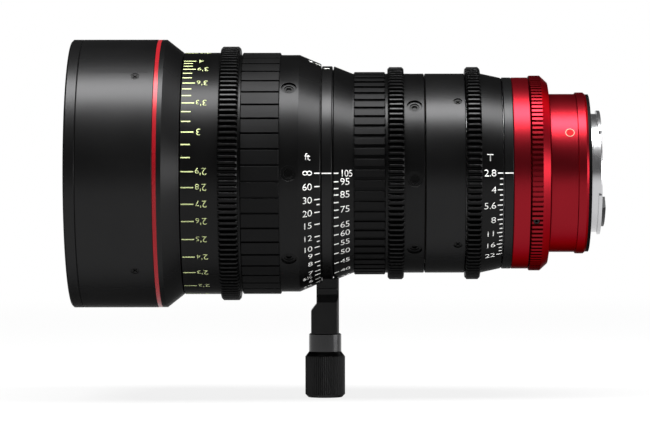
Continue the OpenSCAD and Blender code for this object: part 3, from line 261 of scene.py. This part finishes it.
def dustGroup():
    group, entry, leave = newGroup("settledDust", {"Amount": 0.2, "Specks": 1500.0}, ["Mask"])
    geometry = group.nodes.new("ShaderNodeNewGeometry")
    facing = placeParts(group, geometry.outputs["Normal"])["Z"]
    facingUp = smoothStep(group, facing, *effectSettings["dustFacing"])
    specks = noiseNode(group, objectPlace(group), entry.outputs["Specks"], effectSettings["patchDetail"],
                       effectSettings["dustRoughness"])
    settled = mathNode(group, "MULTIPLY", facingUp, smoothStep(group, specks, *effectSettings["dustBreak"]))
    group.links.new(mathNode(group, "MULTIPLY", settled, entry.outputs["Amount"]), leave.inputs["Mask"])
    return group


effects = {}
finishes = {}


def makeEffects():
    effects["lathe"] = latheMarksGroup()
    effects["grain"] = fineGrainGroup()
    effects["wear"] = rimWearGroup()
    effects["dust"] = dustGroup()
    print("surface effects ready:", len(effects))


# color, the range of its roughness, how much of the reflection stays where it is seen edge on, the radius that its
# edges seem broken by, and the marks of the tool or mould: their size, how they wander, how deep, and the dust on them
finishSettings = {
    "blackBarrel": {"color": (0.0210, 0.0210, 0.0213), "metallic": 0.92, "roughness": (0.31, 0.37), "edge": 0.15,
                    "effect": "lathe", "size": 5200, "wander": 25, "bump": 0.05, "height": 0.00002, "dust": 0.012},
    "gearBlack": {"color": (0.0150, 0.0150, 0.0152), "metallic": 0.92, "roughness": (0.30, 0.36), "edge": 0.2,
                  "bevel": 0.00022,
                  "effect": "lathe", "size": 4200, "wander": 40, "bump": 0.06, "height": 0.00002, "dust": 0.012},
    "footBlack": {"color": (0.0220, 0.0220, 0.0223), "metallic": 0.90, "roughness": (0.30, 0.36), "edge": 0.3,
                  "bevel": 0.0003,
                  "effect": "grain", "size": 3500, "wander": 60, "bump": 0.05, "height": 0.00002, "dust": 0.012},
    "redRing": {"color": (0.27, 0.006, 0.011), "metallic": 0.35, "roughness": (0.26, 0.31), "edge": 0.6,
                "effect": "lathe", "size": 5200, "wander": 30, "bump": 0.03, "height": 0.00001, "dust": 0.0},
    "redBarrel": {"color": (0.25, 0.0110, 0.0175), "metallic": 1.0, "roughness": (0.32, 0.37), "edge": 0.15,
                  "effect": "lathe", "size": 5200, "wander": 30, "bump": 0.05, "height": 0.00002, "dust": 0.0},
    "gripRubber": {"color": (0.0115, 0.0115, 0.0117), "metallic": 0.88, "roughness": (0.44, 0.52), "edge": 0.15,
                   "bevel": 0.00025,
                   "effect": "grain", "size": 2600, "wander": 45, "bump": 0.16, "height": 0.00004, "dust": 0.02},
    "sealRubber": {"color": (0.006, 0.006, 0.006), "metallic": 0.9, "roughness": (0.50, 0.60), "edge": 0.05,
                   "effect": "grain", "size": 2600, "wander": 60, "bump": 0.1, "height": 0.00003, "dust": 0.01},
    "chromeMount": {"color": (0.54, 0.54, 0.55), "metallic": 1.0, "roughness": (0.22, 0.30),
                    "effect": "lathe", "size": 5000, "wander": 50, "bump": 0.04, "height": 0.00001, "dust": 0.0},
    "polishedCollar": {"color": (0.050, 0.050, 0.051), "metallic": 1.0, "roughness": (0.16, 0.24),
                       "effect": "grain", "size": 3000, "wander": 60, "bump": 0.02, "height": 0.00001, "dust": 0.0},
    "sleeveBlack": {"color": (0.006, 0.006, 0.006), "metallic": 0.0, "roughness": (0.42, 0.52), "specular": 0.3,
                    "effect": "lathe", "size": 3600, "wander": 40, "bump": 0.12, "height": 0.00003, "dust": 0.0},
    "plainAluminium": {"color": (0.42, 0.42, 0.43), "metallic": 1.0, "roughness": (0.30, 0.42),
                       "effect": "lathe", "size": 3600, "wander": 40, "bump": 0.12, "height": 0.00003, "dust": 0.0},
    "cellBlack": {"color": (0.005, 0.005, 0.005), "metallic": 0.0, "roughness": (0.6, 0.72), "specular": 0.2,
                  "effect": "lathe", "size": 2400, "wander": 50, "bump": 0.02, "height": 0.00006, "dust": 0.0},
    "drumBronze": {"color": (0.022, 0.018, 0.014), "metallic": 0.9, "roughness": (0.34, 0.46),
                   "effect": "lathe", "size": 3600, "wander": 40, "bump": 0.1, "height": 0.00003, "dust": 0.0},
    "screwBlack": {"color": (0.024, 0.024, 0.0245), "metallic": 0.90, "roughness": (0.30, 0.40), "edge": 0.5,
                   "effect": "grain", "size": 5000, "wander": 90, "bump": 0.05, "height": 0.00001, "dust": 0.0},
    # screw heads in counterbores: black oxide made near-black and barely reflecting, which paints in the shade of their
    # recesses
    "screwPaintedShade": {"color": (0.0022, 0.0022, 0.0022), "metallic": 0.0, "roughness": (0.40, 0.50), "specular": 0.12,
                  "effect": "grain", "size": 5000, "wander": 90, "bump": 0.05, "height": 0.00001, "dust": 0.0},
    "contactPlastic": {"color": (0.006, 0.006, 0.0065), "metallic": 0.0, "roughness": (0.42, 0.52), "specular": 0.4,
                       "effect": "grain", "size": 5000, "wander": 60, "bump": 0.08, "height": 0.00002, "dust": 0.0},
    "contactGold": {"color": (0.85, 0.58, 0.22), "metallic": 1.0, "roughness": (0.18, 0.28),
                    "effect": "grain", "size": 6000, "wander": 90, "bump": 0.03, "height": 0.00001, "dust": 0.0},
    "bladeSteel": {"color": (0.05, 0.05, 0.055), "metallic": 0.8, "roughness": (0.38, 0.5),
                   "effect": "grain", "size": 4000, "wander": 70, "bump": 0.04, "height": 0.00001, "dust": 0.0},
    "whitePaint": {"color": (0.85, 0.85, 0.83), "metallic": 0.0, "roughness": (0.5, 0.6), "specular": 0.3,
                   "effect": "grain", "size": 5000, "wander": 120, "bump": 0.03, "height": 0.00001, "dust": 0.0},
    "greenPaint": {"color": (0.56, 0.63, 0.29), "metallic": 0.0, "roughness": (0.5, 0.6), "specular": 0.3,
                   "effect": "grain", "size": 5000, "wander": 120, "bump": 0.03, "height": 0.00001, "dust": 0.0},
    "redPaint": {"color": (0.40, 0.006, 0.010), "metallic": 0.0, "roughness": (0.50, 0.60), "specular": 0.06,
                 "effect": "grain", "size": 3000, "wander": 60, "bump": 0.02, "height": 0.00001, "dust": 0.0},
    "beigePaint": {"color": (0.50, 0.40, 0.30), "metallic": 0.0, "roughness": (0.50, 0.60), "specular": 0.06,
                   "effect": "grain", "size": 3000, "wander": 60, "bump": 0.02, "height": 0.00001, "dust": 0.0},
}


coatSettings = {
    "patchRange": (0.3, 0.7), "patchTint": (0.86, 1.14),  # patches that vary the roughness and the color
    "wornTint": 1.35,  # how much lighter a worn rim is
    "dustColor": (0.35, 0.34, 0.33, 1), "bevelSamples": 4,
}


def tinted(color, share):
    return (*[min(1, part * share) for part in color], 1)


def addMarks(tree, effect, size, wander):
    marks = tree.nodes.new("ShaderNodeGroup")
    marks.node_tree = effects[effect]
    marks.inputs[0].default_value = size
    marks.inputs[1].default_value = wander
    return marks.outputs


def varyRoughness(tree, shader, patch, roughness, patchRange=(0.0, 1.0)):
    rough = tree.nodes.new("ShaderNodeMapRange")
    rough.inputs["From Min"].default_value, rough.inputs["From Max"].default_value = patchRange
    rough.inputs["To Min"].default_value, rough.inputs["To Max"].default_value = roughness
    tree.links.new(patch, rough.inputs["Value"])
    tree.links.new(rough.outputs["Result"], shader.inputs["Roughness"])


def makeFinish(name, settings, wearReach=None):
    finish = bpy.data.materials.new(name)
    finish.use_nodes = True
    tree = finish.node_tree
    shader = tree.nodes["Principled BSDF"]
    shader.inputs["Metallic"].default_value = settings["metallic"]
    shader.inputs["Specular IOR Level"].default_value = settings.get("specular", 0.5)
    if "edge" in settings:  # black and red anodising stays dark where it is seen edge on
        shader.inputs["Specular Tint"].default_value = (*[settings["edge"]] * 3, 1)

    marks = addMarks(tree, settings["effect"], settings["size"], settings["wander"])
    varyRoughness(tree, shader, marks["Patch"], settings["roughness"], coatSettings["patchRange"])
    bump = tree.nodes.new("ShaderNodeBump")
    bump.inputs["Strength"].default_value = settings["bump"]
    bump.inputs["Distance"].default_value = settings["height"]
    tree.links.new(marks["Height"], bump.inputs["Height"])
    tree.links.new(bump.outputs["Normal"], shader.inputs["Normal"])
    if "bevel" in settings:  # broken edges catch the light
        bevel = tree.nodes.new("ShaderNodeBevel")
        bevel.samples = coatSettings["bevelSamples"]
        bevel.inputs["Radius"].default_value = settings["bevel"]
        tree.links.new(bevel.outputs["Normal"], bump.inputs["Normal"])

    darker, lighter = (tinted(settings["color"], share) for share in coatSettings["patchTint"])
    color = mixColors(tree, marks["Patch"], darker, lighter)
    if settings["dust"]:
        dust = tree.nodes.new("ShaderNodeGroup")
        dust.node_tree = effects["dust"]
        dust.inputs["Amount"].default_value = settings["dust"]
        color = mixColors(tree, dust.outputs["Mask"], color, coatSettings["dustColor"])
    if wearReach:
        wear = tree.nodes.new("ShaderNodeGroup")
        wear.node_tree = effects["wear"]
        for label, value in zip(("From Radius", "To Radius", "Front", "Back"), wearReach):
            wear.inputs[label].default_value = value
        color = mixColors(tree, wear.outputs["Mask"], color, tinted(settings["color"], coatSettings["wornTint"]))
    tree.links.new(color, shader.inputs["Base Color"])
    finishes[name] = finish
    return finish


glassSettings = {
    "ior": 1.6, "roughness": (0.0, 0.02), "grain": (800, 30),
    "reflection": 0.2, "reflectionTint": (0.62, 0.72, 1.0, 1),  # the coating dims and colors what the glass mirrors
    "faceColor": (0.80, 0.93, 0.90, 1), "edgeColor": (0.55, 0.42, 0.75, 1), "edgeBlend": 0.35,
}


def makeGlass():
    glass = bpy.data.materials.new("coatedGlass")
    glass.use_nodes = True
    tree = glass.node_tree
    shader = tree.nodes["Principled BSDF"]
    shader.inputs["Transmission Weight"].default_value = 1.0
    shader.inputs["IOR"].default_value = glassSettings["ior"]
    shader.inputs["Specular IOR Level"].default_value = glassSettings["reflection"]
    shader.inputs["Specular Tint"].default_value = glassSettings["reflectionTint"]
    marks = addMarks(tree, "grain", *glassSettings["grain"])
    varyRoughness(tree, shader, marks["Patch"], glassSettings["roughness"])
    facing = tree.nodes.new("ShaderNodeLayerWeight")
    facing.inputs["Blend"].default_value = glassSettings["edgeBlend"]
    color = mixColors(tree, facing.outputs["Facing"], glassSettings["faceColor"], glassSettings["edgeColor"])
    tree.links.new(color, shader.inputs["Base Color"])
    finishes["coatedGlass"] = glass


# what each CAD node is finished in
nodeFinishes = {
    "blackBarrel": ["front_ring", "front_barrel", "front_collar", "index_ring", "fixed_barrel", "iris_index_ring"],
    "footBlack": ["foot_bracket", "foot_knob"],
    "redRing": ["accent_ring"],
    "redBarrel": ["rear_band", "rear_barrel", "rear_rim", "adjust_ring"],
    "gripRubber": ["focus_grip", "zoom_grip"],
    "sealRubber": ["mount_seal"],
    "chromeMount": ["bayonet_mount", "bayonet_screws"],
    "polishedCollar": ["foot_collar"],
    "sleeveBlack": ["focus_sleeve", "zoom_sleeve", "relay_sleeve"],
    "plainAluminium": ["iris_housing"],
    "cellBlack": ["focus_cell", "front_retainer", "variator_cell", "compensator_cell", "relay_cell"],
    "drumBronze": ["focus_cam_drum", "zoom_cam_drum"],
    "screwBlack": ["adjust_lock_screw", "iris_base_plate", "iris_actuator"],
    # these screws sit in counterbores, and their near-black finish is painted shade of the recess over their black
    # oxide
    "screwPaintedShade": ["focus_screws", "zoom_screws", "front_barrel_screws", "fixed_barrel_screws"],
    "contactPlastic": ["contact_block"],
    "contactGold": ["contact_pins"],
    "bladeSteel": ["iris_blade_%d" % (i + 1) for i in range(11)],
    "coatedGlass": ["front_glass", "second_glass", "variator_glass", "compensator_glass",
                    "relay_front_glass", "relay_rear_glass"],
}
# the rings with gears: two radii between which the teeth turn lighter, and the teeth's reach along X
gearFinishes = {
    "focus_barrel": (0.0532, 0.0539, -0.1560, -0.1470),
    "zoom_barrel": (0.0445, 0.0451, -0.0865, -0.0780),
    "iris_ring": (0.0445, 0.0451, -0.0524, -0.0475),
}


def dressNodes():
    for name, settings in finishSettings.items():
        if name != "gearBlack":
            makeFinish(name, settings)
    makeGlass()
    dressed = {member: finishes[finish] for finish, members in nodeFinishes.items() for member in members}
    for member, reach in gearFinishes.items():
        dressed[member] = makeFinish("gearBlack_" + member, finishSettings["gearBlack"], reach)
    for member, finish in dressed.items():
        nodes[member].data.materials.clear()
        nodes[member].data.materials.append(finish)
    print("CAD nodes dressed:", len(dressed))


# scales: marks are laid on the ring they belong to, angles run down from the line that faces the camera
markSettings = {
    "line": 0.0005, "corner": 0.22, "cornerSteps": 2,  # width of every line, and how round its corners are
    "above": 0.00015, "lift": 0.00003, "thick": 0.00004,  # a mark starts above its ring, is wrapped on it and thickened
}
letterSettings = {
    "capShare": 0.729, "spacing": 0.95, "thinner": 0.011, "curveSteps": 3,  # a capital's share of the type size, then
    # how close the letters stand, how much their strokes are thinned and how fine their curves are
    "wide": 1.14, "widest": 2.9, "halfWide": 0.88,  # widening, its limit for long numbers, and that of the halves
    "inchSize": 0.78, "inchGap": 0.08, "inchDrop": 0.11,  # all that follows is a share of the letters' height
    "letterReach": 0.3, "infinityReach": 0.7, "infinitySize": 1.25, "infinityShift": 0.72,
    "infinityStretch": (1.25, 0.95),
}


def place(piece, matrix):
    piece.data.transform(matrix)
    return piece


def copyPiece(piece):
    twin = piece.copy()
    twin.data = piece.data.copy()
    bpy.context.scene.collection.objects.link(twin)
    return twin


def onRing(angle, x, radius, slope=0.0, turned=False):
    flip = Matrix.Rotation(math.pi, 4, "Z") if turned else Matrix.Identity(4)
    return (Matrix.Rotation(math.radians(angle), 4, "X") @ Matrix.Translation((x, -radius, 0))
            @ Matrix.Rotation(slope, 4, "Z") @ Matrix.Rotation(math.radians(90), 4, "X") @ flip)


def tickPiece(length):
    width = markSettings["line"]
    bpy.ops.mesh.primitive_plane_add(size=1)
    tick = bpy.context.object
    tick.scale = (length, width, 1)
    applyPlace(tick)
    bpy.ops.object.mode_set(mode="EDIT")
    bpy.ops.mesh.select_all(action="SELECT")
    bpy.ops.mesh.bevel(offset=width * markSettings["corner"], segments=markSettings["cornerSteps"], affect="VERTICES")
    bpy.ops.object.mode_set(mode="OBJECT")
    return tick


def plainWord(word, height, align, wide=letterSettings["wide"]):
    s = letterSettings
    wide = s["halfWide"] if "½" in word else min(wide, s["widest"] / len(word.replace(".", "")))
    bpy.ops.object.text_add()
    text = bpy.context.object
    text.data.body = word
    text.data.align_x = align
    text.data.align_y = "CENTER"
    text.data.size = height / s["capShare"]
    text.data.space_character = s["spacing"]
    text.data.offset = -height * s["thinner"]
    text.data.resolution_u = s["curveSteps"]
    selectOnly(text)
    bpy.ops.object.convert(target="MESH")
    piece = bpy.context.object
    low = min(v.co.y for v in piece.data.vertices)
    high = max(v.co.y for v in piece.data.vertices)
    return place(piece, Matrix.Diagonal((wide, 1, 1, 1)) @ Matrix.Translation((0, -(low + high) / 2, 0)))


def wordPiece(word, height, align):
    if "'" not in word:
        return plainWord(word, height, align)
    s = letterSettings
    feet, inches = word.split("'")  # the inches are smaller and stand on the same line
    whole = plainWord(feet + "'", height, "LEFT")
    small = plainWord(inches, height * s["inchSize"], "LEFT")
    reach = max(v.co.x for v in whole.data.vertices) + height * s["inchGap"]
    place(small, Matrix.Translation((reach, -height * s["inchDrop"], 0)))
    width = max(v.co.x for v in small.data.vertices)
    selectOnly(whole, small)
    bpy.ops.object.join()
    return place(whole, Matrix.Translation(({"LEFT": 0, "CENTER": -width / 2, "RIGHT": -width}[align], 0, 0)))


def infinityPiece(height, align):  # an 8 that lies on its side
    s = letterSettings
    piece = plainWord("8", height * s["infinitySize"], "CENTER", 1.0)
    low = min(v.co.x for v in piece.data.vertices)
    high = max(v.co.x for v in piece.data.vertices)
    shift = {"RIGHT": -height, "LEFT": height, "CENTER": 0}[align] * s["infinityShift"]
    return place(piece, Matrix.Translation((shift, 0, 0)) @ Matrix.Diagonal((*s["infinityStretch"], 1, 1))
                 @ Matrix.Rotation(math.radians(90), 4, "Z") @ Matrix.Translation((-(low + high) / 2, 0, 0)))


def settleMarks(name, marks, ring, body, paint, lift=markSettings["lift"]):
    selectOnly(*marks)
    bpy.ops.object.join()
    piece = bpy.context.object
    piece.name = name
    wrap = piece.modifiers.new("wrap", "SHRINKWRAP")
    wrap.target = nodes[ring]
    wrap.wrap_method = "NEAREST_SURFACEPOINT"
    wrap.wrap_mode = "OUTSIDE_SURFACE"
    wrap.offset = lift
    shell = piece.modifiers.new("shell", "SOLIDIFY")
    shell.thickness = markSettings["thick"]
    shell.offset = 1
    applyModifiers(piece)
    piece.data.materials.clear()
    piece.data.materials.append(finishes[paint])
    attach(piece, body)
    print(name, "laid on", ring)
    return piece


def addScale(name, s):
    marks = []
    front, back = s["span"]
    slope = math.atan2(s["radii"][0] - s["radii"][1], back - front)

    def radiusAt(x):
        share = (x - front) / (back - front)
        return s["radii"][0] + (s["radii"][1] - s["radii"][0]) * share + markSettings["above"]

    def layTick(tick, angle, reach):
        middle = sum(reach) / 2
        marks.append(place(copyPiece(tick), onRing(angle, middle, radiusAt(middle), slope)))

    longTick = tickPiece(s["tick"][1] - s["tick"][0])
    shortTick = tickPiece(s["short"][1] - s["short"][0])
    for word, angle in s["words"]:
        layTick(longTick, angle, s["tick"])
        if word == "inf":
            piece = infinityPiece(s["height"], s["align"])
            toward = s["height"] * letterSettings["infinityReach"]
        else:
            piece = wordPiece(word, s["height"], s["align"])
            toward = s["height"] * letterSettings["letterReach"] * len(word)
        middle = s["text"] + (toward if (s["align"] == "LEFT") != s["turned"] else -toward)
        shift = Matrix.Translation(((s["text"] - middle) * (-1 if s["turned"] else 1), 0, 0))
        marks.append(place(piece, onRing(angle, middle, radiusAt(middle), slope, s["turned"]) @ shift))
    for angle in s["between"]:
        layTick(shortTick, angle, s["short"])
    for word, angle, x, height in s["units"]:
        marks.append(place(wordPiece(word, height, "CENTER"), onRing(angle, x, radiusAt(x), slope)))
    for tick in (longTick, shortTick):
        bpy.data.objects.remove(tick)
    settleMarks(name, marks, s["ring"], s["body"], s["paint"])


# the focus ring's angle from infinity, which grows as the subject comes near
focusThrow = {"sweep": 372, "nearest": 0.68}


def feetAngle(feet):
    return focusThrow["sweep"] / (feet - focusThrow["nearest"])


feetScale = {
    "ring": "focus_barrel", "body": "focus_ring", "paint": "whitePaint", "turned": False, "align": "RIGHT",
    "span": (-0.1225, -0.1134), "radii": (0.0504, 0.0466), "tick": (-0.1159, -0.11345), "short": (-0.1149, -0.11345),
    "text": -0.1165, "height": 0.0030,
    "words": [("inf", 0), ("60", 6.7), ("30", 13.3), ("20", 20), ("15", 26.6), ("12", 33.8), ("10", 40.6), ("9", 45.7),
              ("8", 51.7), ("7", 59.9), ("6½", 64.4), ("6", 70.3)]
             + [(word, feetAngle(feet)) for word, feet in (
                 ("5½", 5.5), ("5", 5), ("4½", 4.5), ("4", 4), ("3½", 3.5), ("3", 3), ("2½", 2.5), ("2", 2))],
    "between": [16, 37.0, 55.5, feetAngle(3.75), feetAngle(3.25), feetAngle(2.75), feetAngle(2.25)],
    "units": [("ft", -8.0, -0.1186, 0.0031)],
}
inchScale = {
    "ring": "focus_barrel", "body": "focus_ring", "paint": "greenPaint", "turned": True, "align": "RIGHT",
    "span": (-0.1714, -0.1557), "radii": (0.0514, 0.0514), "tick": (-0.1709, -0.1656), "short": (-0.1709, -0.1670),
    "text": -0.1649, "height": 0.0031,
    "words": [("2'1", 82.4), ("2'2", 66.5), ("2'3", 53.6), ("2'4", 42.5), ("2'5", 32.1), ("2'6", 22.7), ("2'7", 14.3),
              ("2'8", 6.5), ("2'9", -0.8), ("3", -19.4), ("3'3", -34.6), ("3'6", -47.0), ("3'9", -57.9), ("4", -66.5)]
             + [(word, feetAngle(feet) - 180) for word, feet in (
                 ("4'6", 4.5), ("5", 5), ("6", 6), ("7", 7), ("8", 8), ("10", 10), ("15", 15), ("20", 20), ("30", 30))]
             + [("inf", 180)],
    "between": [-7.3, -13.4, -24.7, -29.8, -38.9, -43.1, -50.8, -54.4, -60.9, -63.8],
    "units": [],
}
zoomScale = {
    "ring": "zoom_barrel", "body": "zoom_ring", "paint": "whitePaint", "turned": False, "align": "LEFT",
    "span": (-0.1081, -0.1000), "radii": (0.0455, 0.0424), "tick": (-0.1079, -0.1058), "short": (-0.1079, -0.1058),
    "text": -0.1054, "height": 0.0030,
    "words": [("105", 0), ("95", 4.5), ("85", 11.5), ("75", 19.8), ("65", 28.95), ("60", 34.5), ("55", 40.8),
              ("50", 47.8), ("45", 56.4), ("40", 67.5), ("35", 80.5), ("30", 96)],
    "between": [8.1, 15.6, 24.0],
    "units": [],
}
stopScale = {
    "ring": "iris_ring", "body": "iris_control", "paint": "whitePaint", "turned": False, "align": "RIGHT",
    "span": (-0.0463, -0.0373), "radii": (0.0425, 0.0406), "tick": (-0.0398, -0.0375), "short": (-0.0389, -0.0375),
    "text": -0.0402, "height": 0.0030,
    "words": [("2.8", 0), ("4", 9.8), ("5.6", 19.0), ("8", 28.2), ("11", 37.4), ("16", 46.5), ("22", 56.1)],
    "between": [3.3, 6.55, 12.9, 15.9, 22.0, 25.1, 31.3, 34.4, 40.4, 43.5, 49.7, 52.9],
    "units": [("T", -8.8, -0.0429, 0.0031)],
}
indexLines = {
    "focusIndexLine": {"ring": "index_ring", "reach": (-0.11305, -0.10862), "radius": 0.0456, "angle": 0},
    "measureMark": {"ring": "index_ring", "reach": (-0.1122, -0.1098), "radius": 0.0456, "angle": -76},
    "irisIndexLine": {"ring": "iris_index_ring", "reach": (-0.0369, -0.0331), "radius": 0.0407, "angle": 0},
}


def addIndexLines():
    for name, line in indexLines.items():
        tick = tickPiece(line["reach"][1] - line["reach"][0])
        place(tick, onRing(line["angle"], sum(line["reach"]) / 2, line["radius"] + markSettings["above"]))
        settleMarks(name, [tick], line["ring"], "barrel", "whitePaint")


mountDot = {"ring": "rear_barrel", "angle": -30.0, "x": -0.0092, "radius": 0.03365, "size": 0.0019, "rim": 0.00022,
            "sides": 40, "lift": 0.00005}


def addMountDot():
    bpy.ops.mesh.primitive_circle_add(vertices=mountDot["sides"], radius=mountDot["size"], fill_type="NGON")
    dot = bpy.context.object
    bpy.ops.object.mode_set(mode="EDIT")
    bpy.ops.mesh.select_all(action="SELECT")
    bpy.ops.mesh.inset(thickness=mountDot["rim"])
    bpy.ops.object.mode_set(mode="OBJECT")
    place(dot, onRing(mountDot["angle"], mountDot["x"], mountDot["radius"] + markSettings["above"]))
    piece = settleMarks("mountDot", [dot], mountDot["ring"], "barrel", "beigePaint", mountDot["lift"])
    piece.data.materials.append(finishes["redPaint"])
    for face in piece.data.polygons:
        if len(face.vertices) == mountDot["sides"]:  # the disc inside the beige rim
            face.material_index = 1


# the ridges that stand for the thread in the front ring
threadSettings = {
    "reach": (-0.2180, -0.2108), "pitch": 0.00075, "bore": 0.0520, "ridge": 0.0004, "steps": 160,
    "foot": 0.00002, "sunk": 0.0001,  # a ridge's foot stands clear of the bore's wall, and its ends are sunk in it
    "shares": (0.1, 0.5, 0.9), "merge": 0.00001,  # where a ridge starts, peaks and ends in its pitch
}


def addFilterThread():
    s = threadSettings
    start, end = s["reach"]
    count = int((end - start) / s["pitch"])
    heights = (s["foot"], s["ridge"], s["foot"])
    profile = [(start, s["bore"] + s["sunk"])]
    for i in range(count):
        x = start + i * s["pitch"]
        profile += [(x + s["pitch"] * share, s["bore"] - height) for share, height in zip(s["shares"], heights)]
    profile.append((start + count * s["pitch"], s["bore"] + s["sunk"]))
    mesh = bpy.data.meshes.new("frontThread")
    last = len(profile)
    mesh.from_pydata([(x, -r, 0) for x, r in profile], [(i, (i + 1) % last) for i in range(last)], [])
    piece = bpy.data.objects.new("frontThread", mesh)
    bpy.context.scene.collection.objects.link(piece)
    selectOnly(piece)
    bpy.ops.object.mode_set(mode="EDIT")
    bpy.ops.mesh.select_all(action="SELECT")
    bpy.ops.mesh.spin(steps=s["steps"], angle=math.radians(360), center=(0, 0, 0), axis=(1, 0, 0), use_auto_merge=True)
    bpy.ops.mesh.select_all(action="SELECT")
    bpy.ops.mesh.remove_doubles(threshold=s["merge"])
    bpy.ops.mesh.normals_make_consistent(inside=False)
    bpy.ops.object.mode_set(mode="OBJECT")
    piece.data.materials.append(finishes["blackBarrel"])
    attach(piece, "barrel")
    print("front thread cut:", count, "ridges")


# the step that closes the gap behind the index ring
spacerSettings = {"x": (-0.10862, -0.10816), "radii": (0.0400, 0.0441), "sides": 128, "edge": 0.00005}


def addIndexSpacer():
    s = spacerSettings
    bpy.ops.mesh.primitive_circle_add(vertices=s["sides"], radius=s["radii"][1], fill_type="NGON",
                                      location=(sum(s["x"]) / 2, 0, 0), rotation=(0, math.radians(90), 0))
    spacer = bpy.context.object
    spacer.name = "indexSpacer"
    applyPlace(spacer)
    bpy.ops.object.mode_set(mode="EDIT")
    bpy.ops.mesh.select_all(action="SELECT")
    bpy.ops.mesh.inset(thickness=s["radii"][1] - s["radii"][0])
    bpy.ops.mesh.delete(type="FACE")
    bpy.ops.object.mode_set(mode="OBJECT")
    wall = spacer.modifiers.new("wall", "SOLIDIFY")
    wall.thickness = s["x"][1] - s["x"][0]
    wall.offset = 0
    edge = spacer.modifiers.new("edge", "BEVEL")
    edge.width = s["edge"]
    edge.limit_method = "ANGLE"
    applyModifiers(spacer)
    spacer.data.materials.append(finishes["blackBarrel"])
    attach(spacer, "barrel")
    print("index spacer added")


addCamera()
addStudio()
makeEffects()
dressNodes()
addScale("feetScale", feetScale)
addScale("inchScale", inchScale)
addScale("zoomScale", zoomScale)
addScale("stopScale", stopScale)
addIndexLines()
addMountDot()
addFilterThread()
addIndexSpacer()
